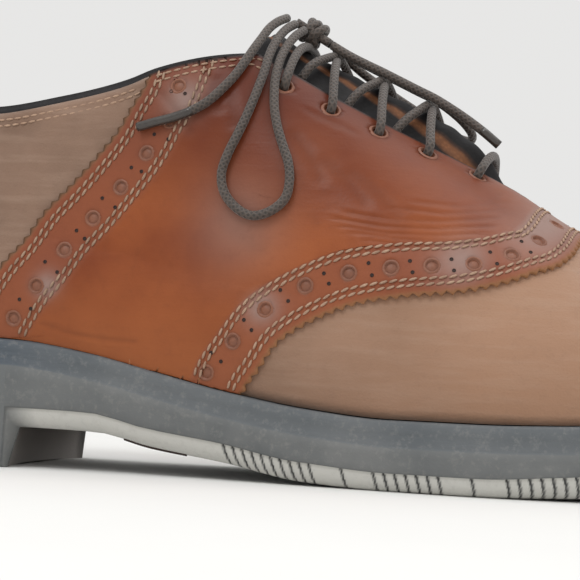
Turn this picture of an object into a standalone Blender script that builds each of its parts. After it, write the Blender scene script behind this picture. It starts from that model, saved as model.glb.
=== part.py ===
# Saddle shoe for a right foot, empty, standing on its sole.
# The toe points along +X, the outer side faces -Y, and the floor is z = 0.

import math

import bmesh
import bpy
import numpy as np

# Overall sizes in metres
SHOE_LENGTH = 0.305
BALL_WIDTH = 0.108
INSTEP_HEIGHT = 0.100

# Sole sizes
HEEL_SIDE = 0.037
FOREFOOT_SIDE = 0.019
WAIST_HEIGHT = 0.0115
TOE_SPRING = 0.011
HEEL_LENGTH = 0.061
BREAST_SLOPE = 0.005
BREAST_HOLLOW = 0.005
EDGE_HEIGHT = 0.0055
EDGE_TUCK = 0.0045
MOULD_STEP = 0.0008
BAND_HEIGHT = 0.007
BAND_STEP = 0.0007
HEEL_ROUND = 0.038
TOE_ROUND = 0.092
HEEL_POWER = 2.1
TOE_POWER = 2.3

# Upper sizes
SOLE_LEDGE = 0.004
UPPER_WALL = 0.002
SADDLE_WALL = 0.0013
FIT_GAP = 0.0003
SIDE_BULGE = 0.0015
BULGE_REACH = 0.030
HEEL_LEAN = 0.007
HEEL_BULGE = 0.0015
TOE_BOX_ROUND = 0.034
TOE_BOX_POWER = 2.4

# Openings in the upper
COLLAR_HEIGHT = 0.103
THROAT_END = 0.200
THROAT_TOP = 0.132
THROAT_HALF_WIDTH = 0.017
COLLAR_SETBACK = 0.0012
EYELET_ROWS = 5
EYELET_FIRST = 0.190
EYELET_PITCH = 0.0135
EYELET_INSET = 0.0075
EYELET_WIDTH = 0.004

# Tongue and insole
TONGUE_WALL = 0.0026
TONGUE_RISE = 0.009
TONGUE_TOP = 0.125
TONGUE_END = 0.214
TONGUE_HALF_WIDTH = 0.026
INSOLE_WALL = 0.003

# Lace
LACE_WIDTH = 0.0026
LACE_LEAN = 0.006
LACE_ARCH = 0.0008
KNOT_WIDTH = 0.0056

# Shares along the shoe. place is a share of SHOE_LENGTH from the back of the heel.
# swing and half are shares of BALL_WIDTH: how far the middle line moves inwards, and
# half the width of the sole. rise is a share of HEEL_SIDE over FOREFOOT_SIDE, arch of
# WAIST_HEIGHT, spring of TOE_SPRING, edge of EDGE_HEIGHT, crest of INSTEP_HEIGHT and
# ridge of BALL_WIDTH. power is the roundness of the cross-section.
SECTION_COLUMNS = ("place", "swing", "half", "rise", "arch", "spring", "edge", "crest", "ridge", "power")
SECTIONS = (
    (0.00, 0.000, 0.330, 1.00, 0.00, 0.00, 0.3, 1.12, 0.00, 2.0),
    (0.06, 0.000, 0.333, 1.00, 0.00, 0.00, 0.3, 1.12, 0.00, 2.0),
    (0.12, 0.000, 0.337, 0.99, 0.00, 0.00, 0.3, 1.13, 0.00, 2.0),
    (0.20, -0.008, 0.333, 0.96, 1.00, 0.00, 1.0, 1.16, 0.00, 2.0),
    (0.28, -0.022, 0.328, 0.78, 0.97, 0.00, 1.0, 1.22, 0.01, 2.0),
    (0.34, -0.034, 0.334, 0.56, 0.66, 0.00, 1.0, 1.17, 0.02, 2.3),
    (0.41, -0.040, 0.356, 0.31, 0.42, 0.00, 1.0, 1.03, 0.025, 2.8),
    (0.49, -0.038, 0.396, 0.10, 0.08, 0.00, 1.0, 0.915, 0.03, 2.5),
    (0.57, -0.026, 0.444, 0.00, 0.00, 0.00, 0.9, 0.79, 0.035, 2.3),
    (0.65, -0.008, 0.490, 0.00, 0.00, 0.00, 0.9, 0.650, 0.045, 2.1),
    (0.72, 0.008, 0.500, 0.00, 0.00, 0.05, 1.05, 0.515, 0.05, 2.2),
    (0.80, 0.025, 0.488, 0.00, 0.00, 0.18, 1.2, 0.385, 0.05, 2.3),
    (0.88, 0.042, 0.462, 0.00, 0.00, 0.43, 1.2, 0.300, 0.04, 2.4),
    (1.00, 0.062, 0.420, 0.00, 0.00, 1.00, 1.2, 0.245, 0.02, 2.4),
)

# Outlines seen from the side. place is a share of SHOE_LENGTH, height of COLLAR_HEIGHT.
TOPLINE = (
    (-0.05, 1.035),
    (0.00, 1.030),
    (0.06, 1.010),
    (0.13, 0.995),
    (0.17, 1.002),
    (0.235, 1.037),
    (0.266, 1.059),
    (0.297, 1.088),
    (0.32, 1.117),
    (0.365, 1.152),
    (0.435, 1.185),
)
SADDLE_REAR = (
    (0.135, 0.250),
    (0.145, 0.340),
    (0.168, 0.455),
    (0.1915, 0.560),
    (0.208, 0.617),
    (0.227, 0.700),
    (0.253, 0.783),
    (0.274, 0.857),
    (0.2935, 0.934),
    (0.305, 1.003),
    (0.3145, 1.054),
    (0.328, 1.200),
)
SADDLE_FRONT = (
    (0.720, 0.700),
    (0.7175, 0.651),
    (0.7065, 0.606),
    (0.6855, 0.580),
    (0.665, 0.555),
    (0.6215, 0.523),
    (0.577, 0.508),
    (0.531, 0.4825),
    (0.491, 0.433),
    (0.462, 0.375),
    (0.444, 0.301),
    (0.429, 0.238),
    (0.420, 0.160),
)

# Plan of the throat. share runs from the throat's end to its top, width is a share of
# THROAT_HALF_WIDTH.
THROAT_PLAN = (
    (0.00, 0.12),
    (0.03, 0.24),
    (0.10, 0.40),
    (0.30, 0.66),
    (0.60, 0.88),
    (1.00, 1.00),
    (1.25, 1.06),
)

# How far the tongue swells out of the throat: share from the throat's end to its top,
# and swell as a share of TONGUE_RISE
TONGUE_SWELL = (
    (0.00, 0.00),
    (0.10, 0.38),
    (0.22, 0.86),
    (0.38, 1.00),
    (0.70, 0.78),
    (0.95, 0.60),
    (1.20, 0.45),
)

# A lace strand over the tongue: across runs from its eyelet (1) past the crest (0),
# lift is a share of how far the tongue stands out, back is a share of LACE_LEAN
CROSSING = (
    (1.00, 0.00, 0.00),
    (0.80, 0.24, 0.22),
    (0.55, 0.58, 0.50),
    (0.28, 0.90, 0.76),
    (0.00, 1.06, 1.00),
    (-0.22, 0.80, 1.18),
    (-0.45, 0.32, 1.40),
)

# The bow. place is a share of SHOE_LENGTH, turn is in degrees round the last from the
# outer feather over the crest (90), and lift is how far the cord's middle lies off the
# saddle, as a share of LACE_WIDTH.
LOOP_NEAR = (
    (0.4267, 86.6, 2.70),
    (0.4260, 80.0, 1.75),
    (0.4260, 70.0, 0.90),
    (0.4260, 58.0, 0.63),
    (0.4225, 48.0, 0.62),
    (0.4160, 39.1, 0.62),
    (0.4050, 30.5, 0.62),
    (0.4005, 26.0, 0.62),
    (0.4045, 23.2, 0.62),
    (0.4130, 21.8, 0.62),
    (0.4250, 21.3, 0.62),
    (0.4385, 22.4, 0.62),
    (0.4540, 26.0, 0.62),
    (0.4640, 30.4, 0.62),
    (0.4640, 34.8, 0.62),
    (0.4575, 38.0, 0.62),
    (0.4490, 42.0, 0.62),
    (0.4410, 48.0, 0.62),
    (0.4365, 57.0, 0.63),
    (0.4358, 68.0, 0.85),
    (0.4358, 79.0, 1.75),
    (0.4358, 86.5, 2.70),
)
END_NEAR = (
    (0.4180, 86.8, 2.75),
    (0.4162, 79.0, 1.75),
    (0.4140, 68.0, 0.80),
    (0.4085, 57.0, 0.62),
    (0.4000, 48.5, 0.62),
    (0.3870, 41.5, 0.62),
    (0.3730, 37.2, 0.62),
    (0.3490, 33.9, 0.62),
    (0.3140, 31.6, 0.62),
)
LOOP_FAR = (
    (0.4610, 90.9, 3.05),
    (0.4705, 91.0, 3.00),
    (0.4918, 91.2, 3.20),
    (0.5148, 91.4, 3.52),
    (0.5377, 91.7, 3.80),
    (0.5590, 92.3, 4.03),
    (0.5770, 93.2, 3.80),
    (0.5895, 95.7, 3.35),
    (0.5940, 99.6, 3.05),
    (0.5895, 103.8, 2.90),
    (0.5770, 106.2, 2.95),
    (0.5574, 105.9, 3.05),
    (0.5311, 104.4, 2.95),
    (0.5050, 102.8, 2.85),
    (0.4820, 100.6, 2.90),
    (0.4672, 97.5, 3.00),
    (0.4584, 94.9, 3.10),
)
END_FAR = (
    (0.4610, 89.1, 3.05),
    (0.4705, 88.8, 3.00),
    (0.4918, 88.3, 3.22),
    (0.5148, 88.0, 3.54),
    (0.5377, 87.6, 3.84),
    (0.5590, 87.2, 4.08),
    (0.5840, 86.9, 3.95),
    (0.6050, 86.4, 3.70),
    (0.6230, 86.0, 3.30),
)
# The knot has a fourth column: its width as a share of KNOT_WIDTH
KNOT = (
    (0.4225, 90.0, 3.14, 0.45),
    (0.4275, 90.0, 3.14, 0.85),
    (0.4345, 90.0, 3.14, 1.00),
    (0.4410, 90.0, 3.14, 1.00),
    (0.4475, 90.0, 3.14, 0.95),
    (0.4535, 90.0, 3.14, 0.80),
    (0.4575, 90.0, 3.14, 0.45),
)

CORD_STEP = 0.0055
LOFT_STEPS = 30
RING_STEPS = 20
SOLE_STEPS = 30
TONGUE_STEPS = 14


# Tables read as smooth curves that never swing past their own rows
def tableSlopes(places, values):
    steps = np.diff(values) / np.diff(places)
    slopes = np.zeros(len(values))
    slopes[0] = steps[0]
    slopes[-1] = steps[-1]
    for row in range(1, len(values) - 1):
        before, after = steps[row - 1], steps[row]
        if before * after > 0:
            slopes[row] = 2 * before * after / (before + after)
    return slopes


def smoothCurve(places, values, place):
    places = np.asarray(places, float)
    values = np.asarray(values, float)
    slopes = tableSlopes(places, values)
    place = min(max(place, places[0]), places[-1])
    row = min(int(np.searchsorted(places, place, side="right")) - 1, len(places) - 2)
    span = places[row + 1] - places[row]
    t = (place - places[row]) / span
    start = (1 + 2 * t) * (1 - t) ** 2 * values[row] + t * (1 - t) ** 2 * span * slopes[row]
    end = t * t * (3 - 2 * t) * values[row + 1] + t * t * (t - 1) * span * slopes[row + 1]
    return float(start + end)


def section(name, place):
    column = SECTION_COLUMNS.index(name)
    places = [row[0] for row in SECTIONS]
    return smoothCurve(places, [row[column] for row in SECTIONS], place)


def endRound(distance, reach, power):
    if distance >= reach:
        return 1.0
    return (1 - (1 - max(distance, 0.0) / reach) ** power) ** (1 / power)


# The plan is centred between its widest points, so that y = 0 is the middle of the box
def planShift():
    places = np.linspace(0.3, 0.95, 131)
    outer = min(rawSide(place, -1, 0.0) for place in places)
    inner = max(rawSide(place, 1, 0.0) for place in places)
    return (outer + inner) / 2


def halfWidth(place, inset):
    along = place * SHOE_LENGTH - inset
    left = SHOE_LENGTH - inset - place * SHOE_LENGTH
    rear = endRound(along, HEEL_ROUND - inset, HEEL_POWER)
    front = endRound(left, TOE_ROUND - inset, TOE_POWER)
    return (section("half", place) * BALL_WIDTH - inset) * rear * front


def rawSide(place, side, inset):
    return section("swing", place) * BALL_WIDTH + side * halfWidth(place, inset)


def placeOf(share, inset):
    return (inset + share * (SHOE_LENGTH - 2 * inset)) / SHOE_LENGTH


def alongX(place):
    return (place - 0.5) * SHOE_LENGTH


PLAN_SHIFT = planShift()


def centreY(place):
    return section("swing", place) * BALL_WIDTH - PLAN_SHIFT


# Heights of the sole
def soleTop(place):
    rise = section("rise", place) * (HEEL_SIDE - FOREFOOT_SIDE)
    return FOREFOOT_SIDE + rise + section("spring", place) * TOE_SPRING


def breastPlace():
    return HEEL_LENGTH / SHOE_LENGTH


def soleBottom(place):
    spring = section("spring", place) * TOE_SPRING
    if place <= breastPlace():
        return 0.0
    return section("arch", place) * WAIST_HEIGHT + spring


def edgeShare(place):
    return 0.3 if place <= breastPlace() else section("edge", place)


# A point of the last: share along the shoe, turn from the outer feather (0) over the
# crest to the inner feather (pi), and how far out it lies from the upper's face
def lastPoint(share, turn, out):
    inset = SOLE_LEDGE - out
    place = placeOf(share, inset)
    half = halfWidth(place, inset)
    left = (1 - place) * SHOE_LENGTH - inset
    height = section("crest", place) * INSTEP_HEIGHT + out
    height *= endRound(left, TOE_BOX_ROUND, TOE_BOX_POWER)
    power = section("power", place)
    sine = math.sin(turn)
    cosine = math.cos(turn)
    rise = height * max(sine, 0.0) ** (2 / power)
    reach = math.copysign(abs(cosine) ** (2 / power), cosine)
    bulge = SIDE_BULGE * math.sin(math.pi * min(rise / BULGE_REACH, 1.0))
    roundShare = half / max(section("half", place) * BALL_WIDTH - inset, 1e-6)
    width = half + bulge * roundShare
    ridge = section("ridge", place) * BALL_WIDTH * sine ** 2 * roundShare
    up = rise / (COLLAR_HEIGHT - HEEL_SIDE)
    heelShare = max(0.0, 1 - place / 0.22) ** 2
    lean = HEEL_LEAN * up * up - HEEL_BULGE * math.sin(math.pi * min(up, 1.0))
    x = alongX(place) + lean * heelShare
    y = centreY(place) - reach * width + ridge
    z = soleTop(place) + FIT_GAP + rise
    return (x, y, z)


# Stations crowd towards both ends, where the outline turns
def endShares(steps):
    return [(1 - math.cos(math.pi * step / steps)) / 2 for step in range(steps + 1)]


def makeMaterial(name, colour, roughness):
    material = bpy.data.materials.new(name)
    material.use_nodes = True
    shader = material.node_tree.nodes["Principled BSDF"]
    shader.inputs["Base Color"].default_value = (*colour, 1.0)
    shader.inputs["Roughness"].default_value = roughness
    shader.inputs["Metallic"].default_value = 0.0
    return material


def addObject(name, mesh, collection, material=None):
    piece = bpy.data.objects.new(name, mesh)
    collection.objects.link(piece)
    if material:
        mesh.materials.append(material)
    return piece


# Every four-sided face is split the same way, so that parallel faces stay parallel
def finishMesh(name, shape):
    bmesh.ops.triangulate(shape, faces=shape.faces, quad_method="FIXED")
    bmesh.ops.remove_doubles(shape, verts=shape.verts, dist=0.00001)
    bmesh.ops.recalc_face_normals(shape, faces=shape.faces)
    mesh = bpy.data.meshes.new(name)
    shape.to_mesh(mesh)
    shape.free()
    mesh.shade_smooth()
    mesh.set_sharp_from_angle(angle=math.radians(40))
    return mesh


# Rows of points joined by faces, row to row
def joinRows(shape, rows, closed):
    for first, second in zip(rows, rows[1:]):
        count = len(first)
        for at in range(count if closed else count - 1):
            after = (at + 1) % count
            corners = [first[at], first[after], second[after], second[at]]
            shape.faces.new(corners)


# A wall between two surfaces of the last, closed along the feather
def lastWall(name, outFace, inFace):
    shape = bmesh.new()
    shares = endShares(LOFT_STEPS)
    turns = [math.pi * step / RING_STEPS for step in range(RING_STEPS + 1)]
    outer = [[shape.verts.new(lastPoint(share, turn, outFace)) for turn in turns] for share in shares]
    inner = [[shape.verts.new(lastPoint(share, turn, inFace)) for turn in turns] for share in shares]
    joinRows(shape, outer, False)
    joinRows(shape, inner, False)
    for edge in (0, -1):
        joinRows(shape, [[row[edge] for row in outer], [row[edge] for row in inner]], False)
    return finishMesh(name, shape)


# A flat outline in x and z pushed through the whole width
def sidePrism(name, outline, collection):
    shape = bmesh.new()
    reach = BALL_WIDTH
    near = [shape.verts.new((x, -reach, z)) for x, z in outline]
    far = [shape.verts.new((x, reach, z)) for x, z in outline]
    shape.faces.new(near)
    shape.faces.new(far)
    joinRows(shape, [near, far], True)
    return makeCutter(name, shape, collection)


def makeCutter(name, shape, collection):
    bmesh.ops.recalc_face_normals(shape, faces=shape.faces)
    mesh = bpy.data.meshes.new(name)
    shape.to_mesh(mesh)
    shape.free()
    cutter = addObject(name, mesh, collection)
    cutter.hide_render = True
    cutter.display_type = "WIRE"
    return cutter


def sideCurve(table, steps):
    places = np.linspace(table[0][0], table[-1][0], steps + 1)
    rows = [(alongX(place), smoothCurve([r[0] for r in table], [r[1] for r in table], place)) for place in places]
    return [(x, height * COLLAR_HEIGHT) for x, height in rows]


def collarCutter(name, setback, collection):
    curve = [(x, z - setback) for x, z in sideCurve(TOPLINE, 20)]
    top = COLLAR_HEIGHT * 2
    return sidePrism(name, curve + [(curve[-1][0], top), (curve[0][0], top)], collection)


# The throat, cut straight down from above through the top of the shell
def throatHalf(share):
    width = smoothCurve([row[0] for row in THROAT_PLAN], [row[1] for row in THROAT_PLAN], share)
    return width * THROAT_HALF_WIDTH


def throatPoint(share, side, setback):
    place = (THROAT_END + setback - share * (THROAT_END + setback - THROAT_TOP)) / SHOE_LENGTH
    middle = centreY(place) + section("ridge", place) * BALL_WIDTH
    return (alongX(place), middle + side * (throatHalf(share) + setback))


def throatCutter(name, setback, collection):
    shape = bmesh.new()
    shares = [1.25 * (step / 12) ** 1.6 for step in range(13)]
    outline = [throatPoint(share, -1, setback) for share in shares]
    outline += [throatPoint(share, 1, setback) for share in reversed(shares)]
    low = [shape.verts.new((x, y, COLLAR_HEIGHT * 0.5)) for x, y in outline]
    high = [shape.verts.new((x, y, COLLAR_HEIGHT * 2)) for x, y in outline]
    shape.faces.new(low)
    shape.faces.new(high)
    joinRows(shape, [low, high], True)
    return makeCutter(name, shape, collection)


# The point and outward direction of the last above a place in the plan
def turnAt(share, y, out):
    low, high = 0.0, math.pi
    for _ in range(40):
        middle = (low + high) / 2
        if lastPoint(share, middle, out)[1] < y:
            low = middle
        else:
            high = middle
    return (low + high) / 2


# A point over the shell and the direction straight out of it
def faceSpot(share, turn, out):
    point = np.array(lastPoint(share, turn, out))
    ahead = np.array(lastPoint(share + 0.01, turn, out)) - point
    around = np.array(lastPoint(share, turn + 0.02, out)) - point
    outward = np.cross(ahead, around)
    outward /= np.linalg.norm(outward)
    return point, outward if outward[2] > 0 else -outward


def shareOf(along, out):
    inset = SOLE_LEDGE - out
    return (along - inset) / (SHOE_LENGTH - 2 * inset)


# The same by distance across the throat, from its middle
def shellSpot(along, across, out):
    share = shareOf(along, out)
    place = along / SHOE_LENGTH
    middle = centreY(place) + section("ridge", place) * BALL_WIDTH
    return faceSpot(share, turnAt(share, middle + across, out), out)


def eyeletReach(along):
    return throatHalf((THROAT_END - along) / (THROAT_END - THROAT_TOP)) + EYELET_INSET


def eyeletAlong(row):
    return EYELET_FIRST - row * EYELET_PITCH


def eyeletSpots():
    spots = []
    for row in range(EYELET_ROWS):
        along = eyeletAlong(row)
        for side in (-1, 1):
            spots.append(shellSpot(along, side * eyeletReach(along), 0.0))
    return spots


def eyeletCutters(collection):
    shape = bmesh.new()
    for point, outward in eyeletSpots():
        sideways = np.cross(outward, (1.0, 0.0, 0.0))
        sideways /= np.linalg.norm(sideways)
        forward = np.cross(sideways, outward)
        rings = []
        for reach in (-0.008, 0.008):
            ring = []
            for step in range(10):
                angle = 2 * math.pi * step / 10
                spoke = (sideways * math.cos(angle) + forward * math.sin(angle)) * EYELET_WIDTH / 2
                ring.append(shape.verts.new(point + outward * reach + spoke))
            rings.append(ring)
        joinRows(shape, rings, True)
        shape.faces.new(rings[0])
        shape.faces.new(rings[1])
    return makeCutter("eyelet_cutters", shape, collection)


def addBoolean(piece, cutter, operation):
    step = piece.modifiers.new(cutter.name, "BOOLEAN")
    step.operation = operation
    step.solver = "EXACT"
    step.object = cutter


# The upper: one hollow shell, open at the collar, the throat and underneath
def makeUpper(parts, cutters, holes):
    mesh = lastWall("upper", 0.0, -UPPER_WALL)
    upper = addObject("upper", mesh, parts, makeMaterial("nubuck", (0.38, 0.22, 0.15), 0.85))
    addBoolean(upper, throatCutter("upper_throat", 0.0, cutters), "DIFFERENCE")
    addBoolean(upper, collarCutter("upper_collar", 0.0, cutters), "DIFFERENCE")
    addBoolean(upper, holes, "DIFFERENCE")
    return upper


# The saddle: a leather layer over the instep, between its rear and front borders
def makeSaddle(parts, cutters, holes):
    mesh = lastWall("saddle", FIT_GAP + SADDLE_WALL, FIT_GAP)
    saddle = addObject("saddle", mesh, parts, makeMaterial("leather", (0.30, 0.09, 0.035), 0.35))
    rear = [(alongX(place), height * COLLAR_HEIGHT) for place, height in SADDLE_REAR]
    front = [(alongX(place), height * COLLAR_HEIGHT) for place, height in SADDLE_FRONT]
    outline = rear + [(rear[-1][0], COLLAR_HEIGHT * 1.5), (front[0][0], COLLAR_HEIGHT * 1.5)] + front
    outline += [(front[-1][0], 0.0), (rear[0][0], 0.0)]
    addBoolean(saddle, throatCutter("saddle_throat", COLLAR_SETBACK, cutters), "DIFFERENCE")
    addBoolean(saddle, sidePrism("saddle_outline", outline, cutters), "INTERSECT")
    addBoolean(saddle, collarCutter("saddle_collar", COLLAR_SETBACK, cutters), "DIFFERENCE")
    addBoolean(saddle, holes, "DIFFERENCE")
    return saddle


# The sole: rings of its outline from the tread up, with a hollowed heel breast
def soleShares():
    heel = breastPlace()
    lip = BREAST_SLOPE / SHOE_LENGTH
    shares = [share for share in endShares(SOLE_STEPS) if not heel - 2 * lip < share < heel + 2 * lip]
    return sorted(shares + [heel - 1.6 * lip, heel, heel + lip, heel + 2.6 * lip])


def soleRing(shape, inset, height, shares):
    near = []
    far = []
    for share in shares:
        place = placeOf(share, inset(share))
        half = halfWidth(place, inset(share))
        z = height(share)
        near.append(shape.verts.new((alongX(place), centreY(place) - half, z)))
        far.append(shape.verts.new((alongX(place), centreY(place) + half, z)))
    return near + far[::-1]


def makeSole(parts):
    shape = bmesh.new()
    shares = soleShares()
    rings = []
    for turn in (0.0, math.pi / 6, math.pi / 3, math.pi / 2):
        tuck = lambda share, turn=turn: EDGE_TUCK * edgeShare(share) * (1 - math.sin(turn)) + MOULD_STEP
        low = lambda share, turn=turn: soleBottom(share) + EDGE_HEIGHT * edgeShare(share) * (1 - math.cos(turn))
        rings.append(soleRing(shape, tuck, low, shares))
    mould = lambda share: soleBottom(share) + EDGE_HEIGHT * edgeShare(share)
    band = lambda share: soleTop(share) - BAND_HEIGHT
    rings.append(soleRing(shape, lambda share: 0.0, mould, shares))
    rings.append(soleRing(shape, lambda share: 0.0, band, shares))
    rings.append(soleRing(shape, lambda share: BAND_STEP, band, shares))
    rings.append(soleRing(shape, lambda share: BAND_STEP, soleTop, shares))
    joinRows(shape, rings, True)
    closeAcross(shape, rings[-1], 1, 0.0, shares)
    closeAcross(shape, rings[0], 6, BREAST_HOLLOW, shares)
    mesh = finishMesh("outsole", shape)
    return addObject("outsole", mesh, parts, makeMaterial("rubber", (0.10, 0.11, 0.11), 0.7))


# Closes a ring with strips across the shoe. The two rows at the heel breast are drawn
# back towards the heel in the middle, so that the breast is hollow.
def closeAcross(shape, ring, columns, hollow, shares):
    count = len(shares)
    heel = breastPlace()
    rows = []
    for at in range(count):
        near = ring[at]
        far = ring[2 * count - 1 - at]
        nearBreast = abs(shares[at] - heel) < 1.5 * BREAST_SLOPE / SHOE_LENGTH
        bent = hollow if nearBreast else 0.0
        row = [near]
        for column in range(1, columns):
            t = column / columns
            point = near.co.lerp(far.co, t)
            point.x -= bent * (1 - (2 * t - 1) ** 2)
            row.append(shape.verts.new(point))
        rows.append(row + [far])
    joinRows(shape, rows, False)


# The insole board, flat across, on the sole inside the upper
def makeInsole(parts):
    shape = bmesh.new()
    shares = endShares(SOLE_STEPS)
    inset = SOLE_LEDGE + UPPER_WALL + FIT_GAP
    low = lambda share: soleTop(placeOf(share, inset)) + FIT_GAP
    high = lambda share: soleTop(placeOf(share, inset)) + FIT_GAP + INSOLE_WALL
    rings = [soleRing(shape, lambda share: inset, height, shares) for height in (low, high)]
    joinRows(shape, rings, True)
    closeAcross(shape, rings[0], 1, 0.0, shares)
    closeAcross(shape, rings[1], 1, 0.0, shares)
    mesh = finishMesh("insole", shape)
    return addObject("insole", mesh, parts, makeMaterial("lining", (0.30, 0.20, 0.13), 0.8))


# The tongue: a strip of the last's inner face, raised to a ridge through the throat
def tongueRise(along, across):
    throatShare = (THROAT_END - along) / (THROAT_END - THROAT_TOP)
    if throatShare <= 0.02:
        return 0.0
    free = throatHalf(min(throatShare, 1.2)) - 0.0012
    if abs(across) >= free:
        return 0.0
    swell = smoothCurve([row[0] for row in TONGUE_SWELL], [row[1] for row in TONGUE_SWELL], throatShare)
    return TONGUE_RISE * swell * math.cos(math.pi * across / (2 * free)) ** 2


def tongueColumns():
    inner = [-1.0, -0.8, -0.6, -0.45, -0.33, -0.22, -0.11]
    return inner + [0.0] + [-share for share in reversed(inner)]


def tonguePoint(along, column, depth):
    across = column * TONGUE_HALF_WIDTH
    point, outward = shellSpot(along, across, -UPPER_WALL)
    lift = tongueRise(along, across) - 2 * FIT_GAP - depth
    return point + outward * lift


def makeTongue(parts):
    shape = bmesh.new()
    rows = np.linspace(TONGUE_TOP, TONGUE_END, TONGUE_STEPS + 1)
    sheets = []
    for depth in (0.0, TONGUE_WALL):
        sheets.append([[shape.verts.new(tonguePoint(along, column, depth)) for column in tongueColumns()]
                       for along in rows])
    top, bottom = sheets
    joinRows(shape, top, False)
    joinRows(shape, bottom, False)
    for edge in (0, -1):
        joinRows(shape, [[row[edge] for row in top], [row[edge] for row in bottom]], False)
        joinRows(shape, [top[edge], bottom[edge]], False)
    mesh = finishMesh("tongue", shape)
    return addObject("tongue", mesh, parts, makeMaterial("tongue_leather", (0.02, 0.02, 0.025), 0.5))


# A round cord along its points, with filled ends
def makeCord(name, points, radii, parts, material):
    curve = bpy.data.curves.new(name, "CURVE")
    curve.dimensions = "3D"
    curve.bevel_depth = LACE_WIDTH / 2
    curve.bevel_resolution = 2
    curve.use_fill_caps = True
    spline = curve.splines.new("POLY")
    spline.points.add(len(points) - 1)
    for spot, point, radius in zip(spline.points, points, radii):
        spot.co = (*point, 1.0)
        spot.radius = radius
    return addObject(name, curve, parts, material)


# The same as a closed mesh
def makeTube(name, points, parts, material):
    guide = makeCord(name + "_guide", points, [1.0] * len(points), parts, material)
    mesh = bpy.data.meshes.new_from_object(guide.evaluated_get(bpy.context.evaluated_depsgraph_get()))
    bpy.data.objects.remove(guide)
    shape = bmesh.new()
    shape.from_mesh(mesh)
    bmesh.ops.remove_doubles(shape, verts=shape.verts, dist=0.00001)
    bmesh.ops.recalc_face_normals(shape, faces=shape.faces)
    shape.to_mesh(mesh)
    shape.free()
    mesh.name = name
    mesh.materials.clear()
    return addObject(name, mesh, parts, material)


# How far the tongue's crest stands out of the saddle's outer face
def tongueStandOut(along):
    return max(tongueRise(along, 0.0) - 3 * FIT_GAP - UPPER_WALL - SADDLE_WALL, 0.0)


def laceSpot(along, across, lift):
    point, outward = shellSpot(along, across, FIT_GAP + SADDLE_WALL)
    return point + outward * (LACE_WIDTH / 2 + FIT_GAP + lift)


def crossingPoints(along, side):
    reach = eyeletReach(along)
    shares = [row[0] for row in CROSSING][::-1]
    lifts = [row[1] for row in CROSSING][::-1]
    backs = [row[2] for row in CROSSING][::-1]
    points = []
    for share in np.linspace(shares[-1], shares[0], 12):
        back = smoothCurve(shares, backs, share) * LACE_LEAN
        top = tongueStandOut(along - back) + LACE_ARCH
        points.append(laceSpot(along - back, side * share * reach, smoothCurve(shares, lifts, share) * top))
    return points


def barPoints(along):
    reach = eyeletReach(along)
    top = max(tongueStandOut(along), tongueStandOut(along - LACE_WIDTH)) + LACE_ARCH
    return [laceSpot(along, share * reach, top * math.cos(share * math.pi / 2) ** 0.8)
            for share in np.linspace(-1.0, 1.0, 13)]


# The lace over the tongue: a bar at the lowest and highest eyelets, crossings between
def makeCrossings(parts, material):
    for row in range(EYELET_ROWS):
        along = eyeletAlong(row)
        if row in (0, EYELET_ROWS - 1):
            makeTube("lace_bar_%d" % row, barPoints(along), parts, material)
            continue
        first = makeTube("lace_cross_%d" % row, crossingPoints(along, -1), parts, material)
        second = makeTube("other_strand", crossingPoints(along, 1), parts, material)
        addBoolean(first, second, "UNION")
        mesh = bpy.data.meshes.new_from_object(first.evaluated_get(bpy.context.evaluated_depsgraph_get()))
        first.modifiers.clear()
        first.data = mesh
        bpy.data.objects.remove(second)


# A table of the bow read as one smooth curve, at even steps along it
def bowPoints(table):
    places = list(range(len(table)))
    out = FIT_GAP + SADDLE_WALL
    fine = []
    for at in np.linspace(0, len(table) - 1, 12 * len(table)):
        place, turn, lift = (smoothCurve(places, [row[column] for row in table], at) for column in range(3))
        point, outward = faceSpot(shareOf(place * SHOE_LENGTH, out), math.radians(turn), out)
        fine.append(point + outward * lift * LACE_WIDTH)
    spans = [float(np.linalg.norm(after - before)) for before, after in zip(fine, fine[1:])]
    travel = np.concatenate([[0.0], np.cumsum(spans)])
    count = max(int(round(travel[-1] / CORD_STEP)), len(KNOT) - 1)
    marks = np.linspace(0.0, travel[-1], count + 1)
    return [np.array([np.interp(mark, travel, [point[axis] for point in fine]) for axis in range(3)])
            for mark in marks]


def makeBow(parts, material):
    for name, table in (("lace_loop_near", LOOP_NEAR), ("lace_end_near", END_NEAR),
                        ("lace_loop_far", LOOP_FAR), ("lace_end_far", END_FAR)):
        points = bowPoints(table)
        makeCord(name, points, [1.0] * len(points), parts, material)
    radii = [row[3] * KNOT_WIDTH / LACE_WIDTH for row in KNOT]
    makeCord("lace_knot", bowPoints(KNOT), radii, parts, material)


def buildShoe():
    for old in list(bpy.data.objects):
        bpy.data.objects.remove(old)
    parts = bpy.data.collections.new("saddle_shoe")
    cutters = bpy.data.collections.new("cutters")
    bpy.context.scene.collection.children.link(parts)
    bpy.context.scene.collection.children.link(cutters)
    holes = eyeletCutters(cutters)
    makeSole(parts)
    makeInsole(parts)
    makeUpper(parts, cutters, holes)
    makeSaddle(parts, cutters, holes)
    makeTongue(parts)
    lace = makeMaterial("lace", (0.07, 0.055, 0.045), 0.55)
    makeCrossings(parts, lace)
    makeBow(parts, lace)


buildShoe()
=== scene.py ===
import math

import bmesh
import bpy
import numpy as np
from mathutils import Matrix, Vector


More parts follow.
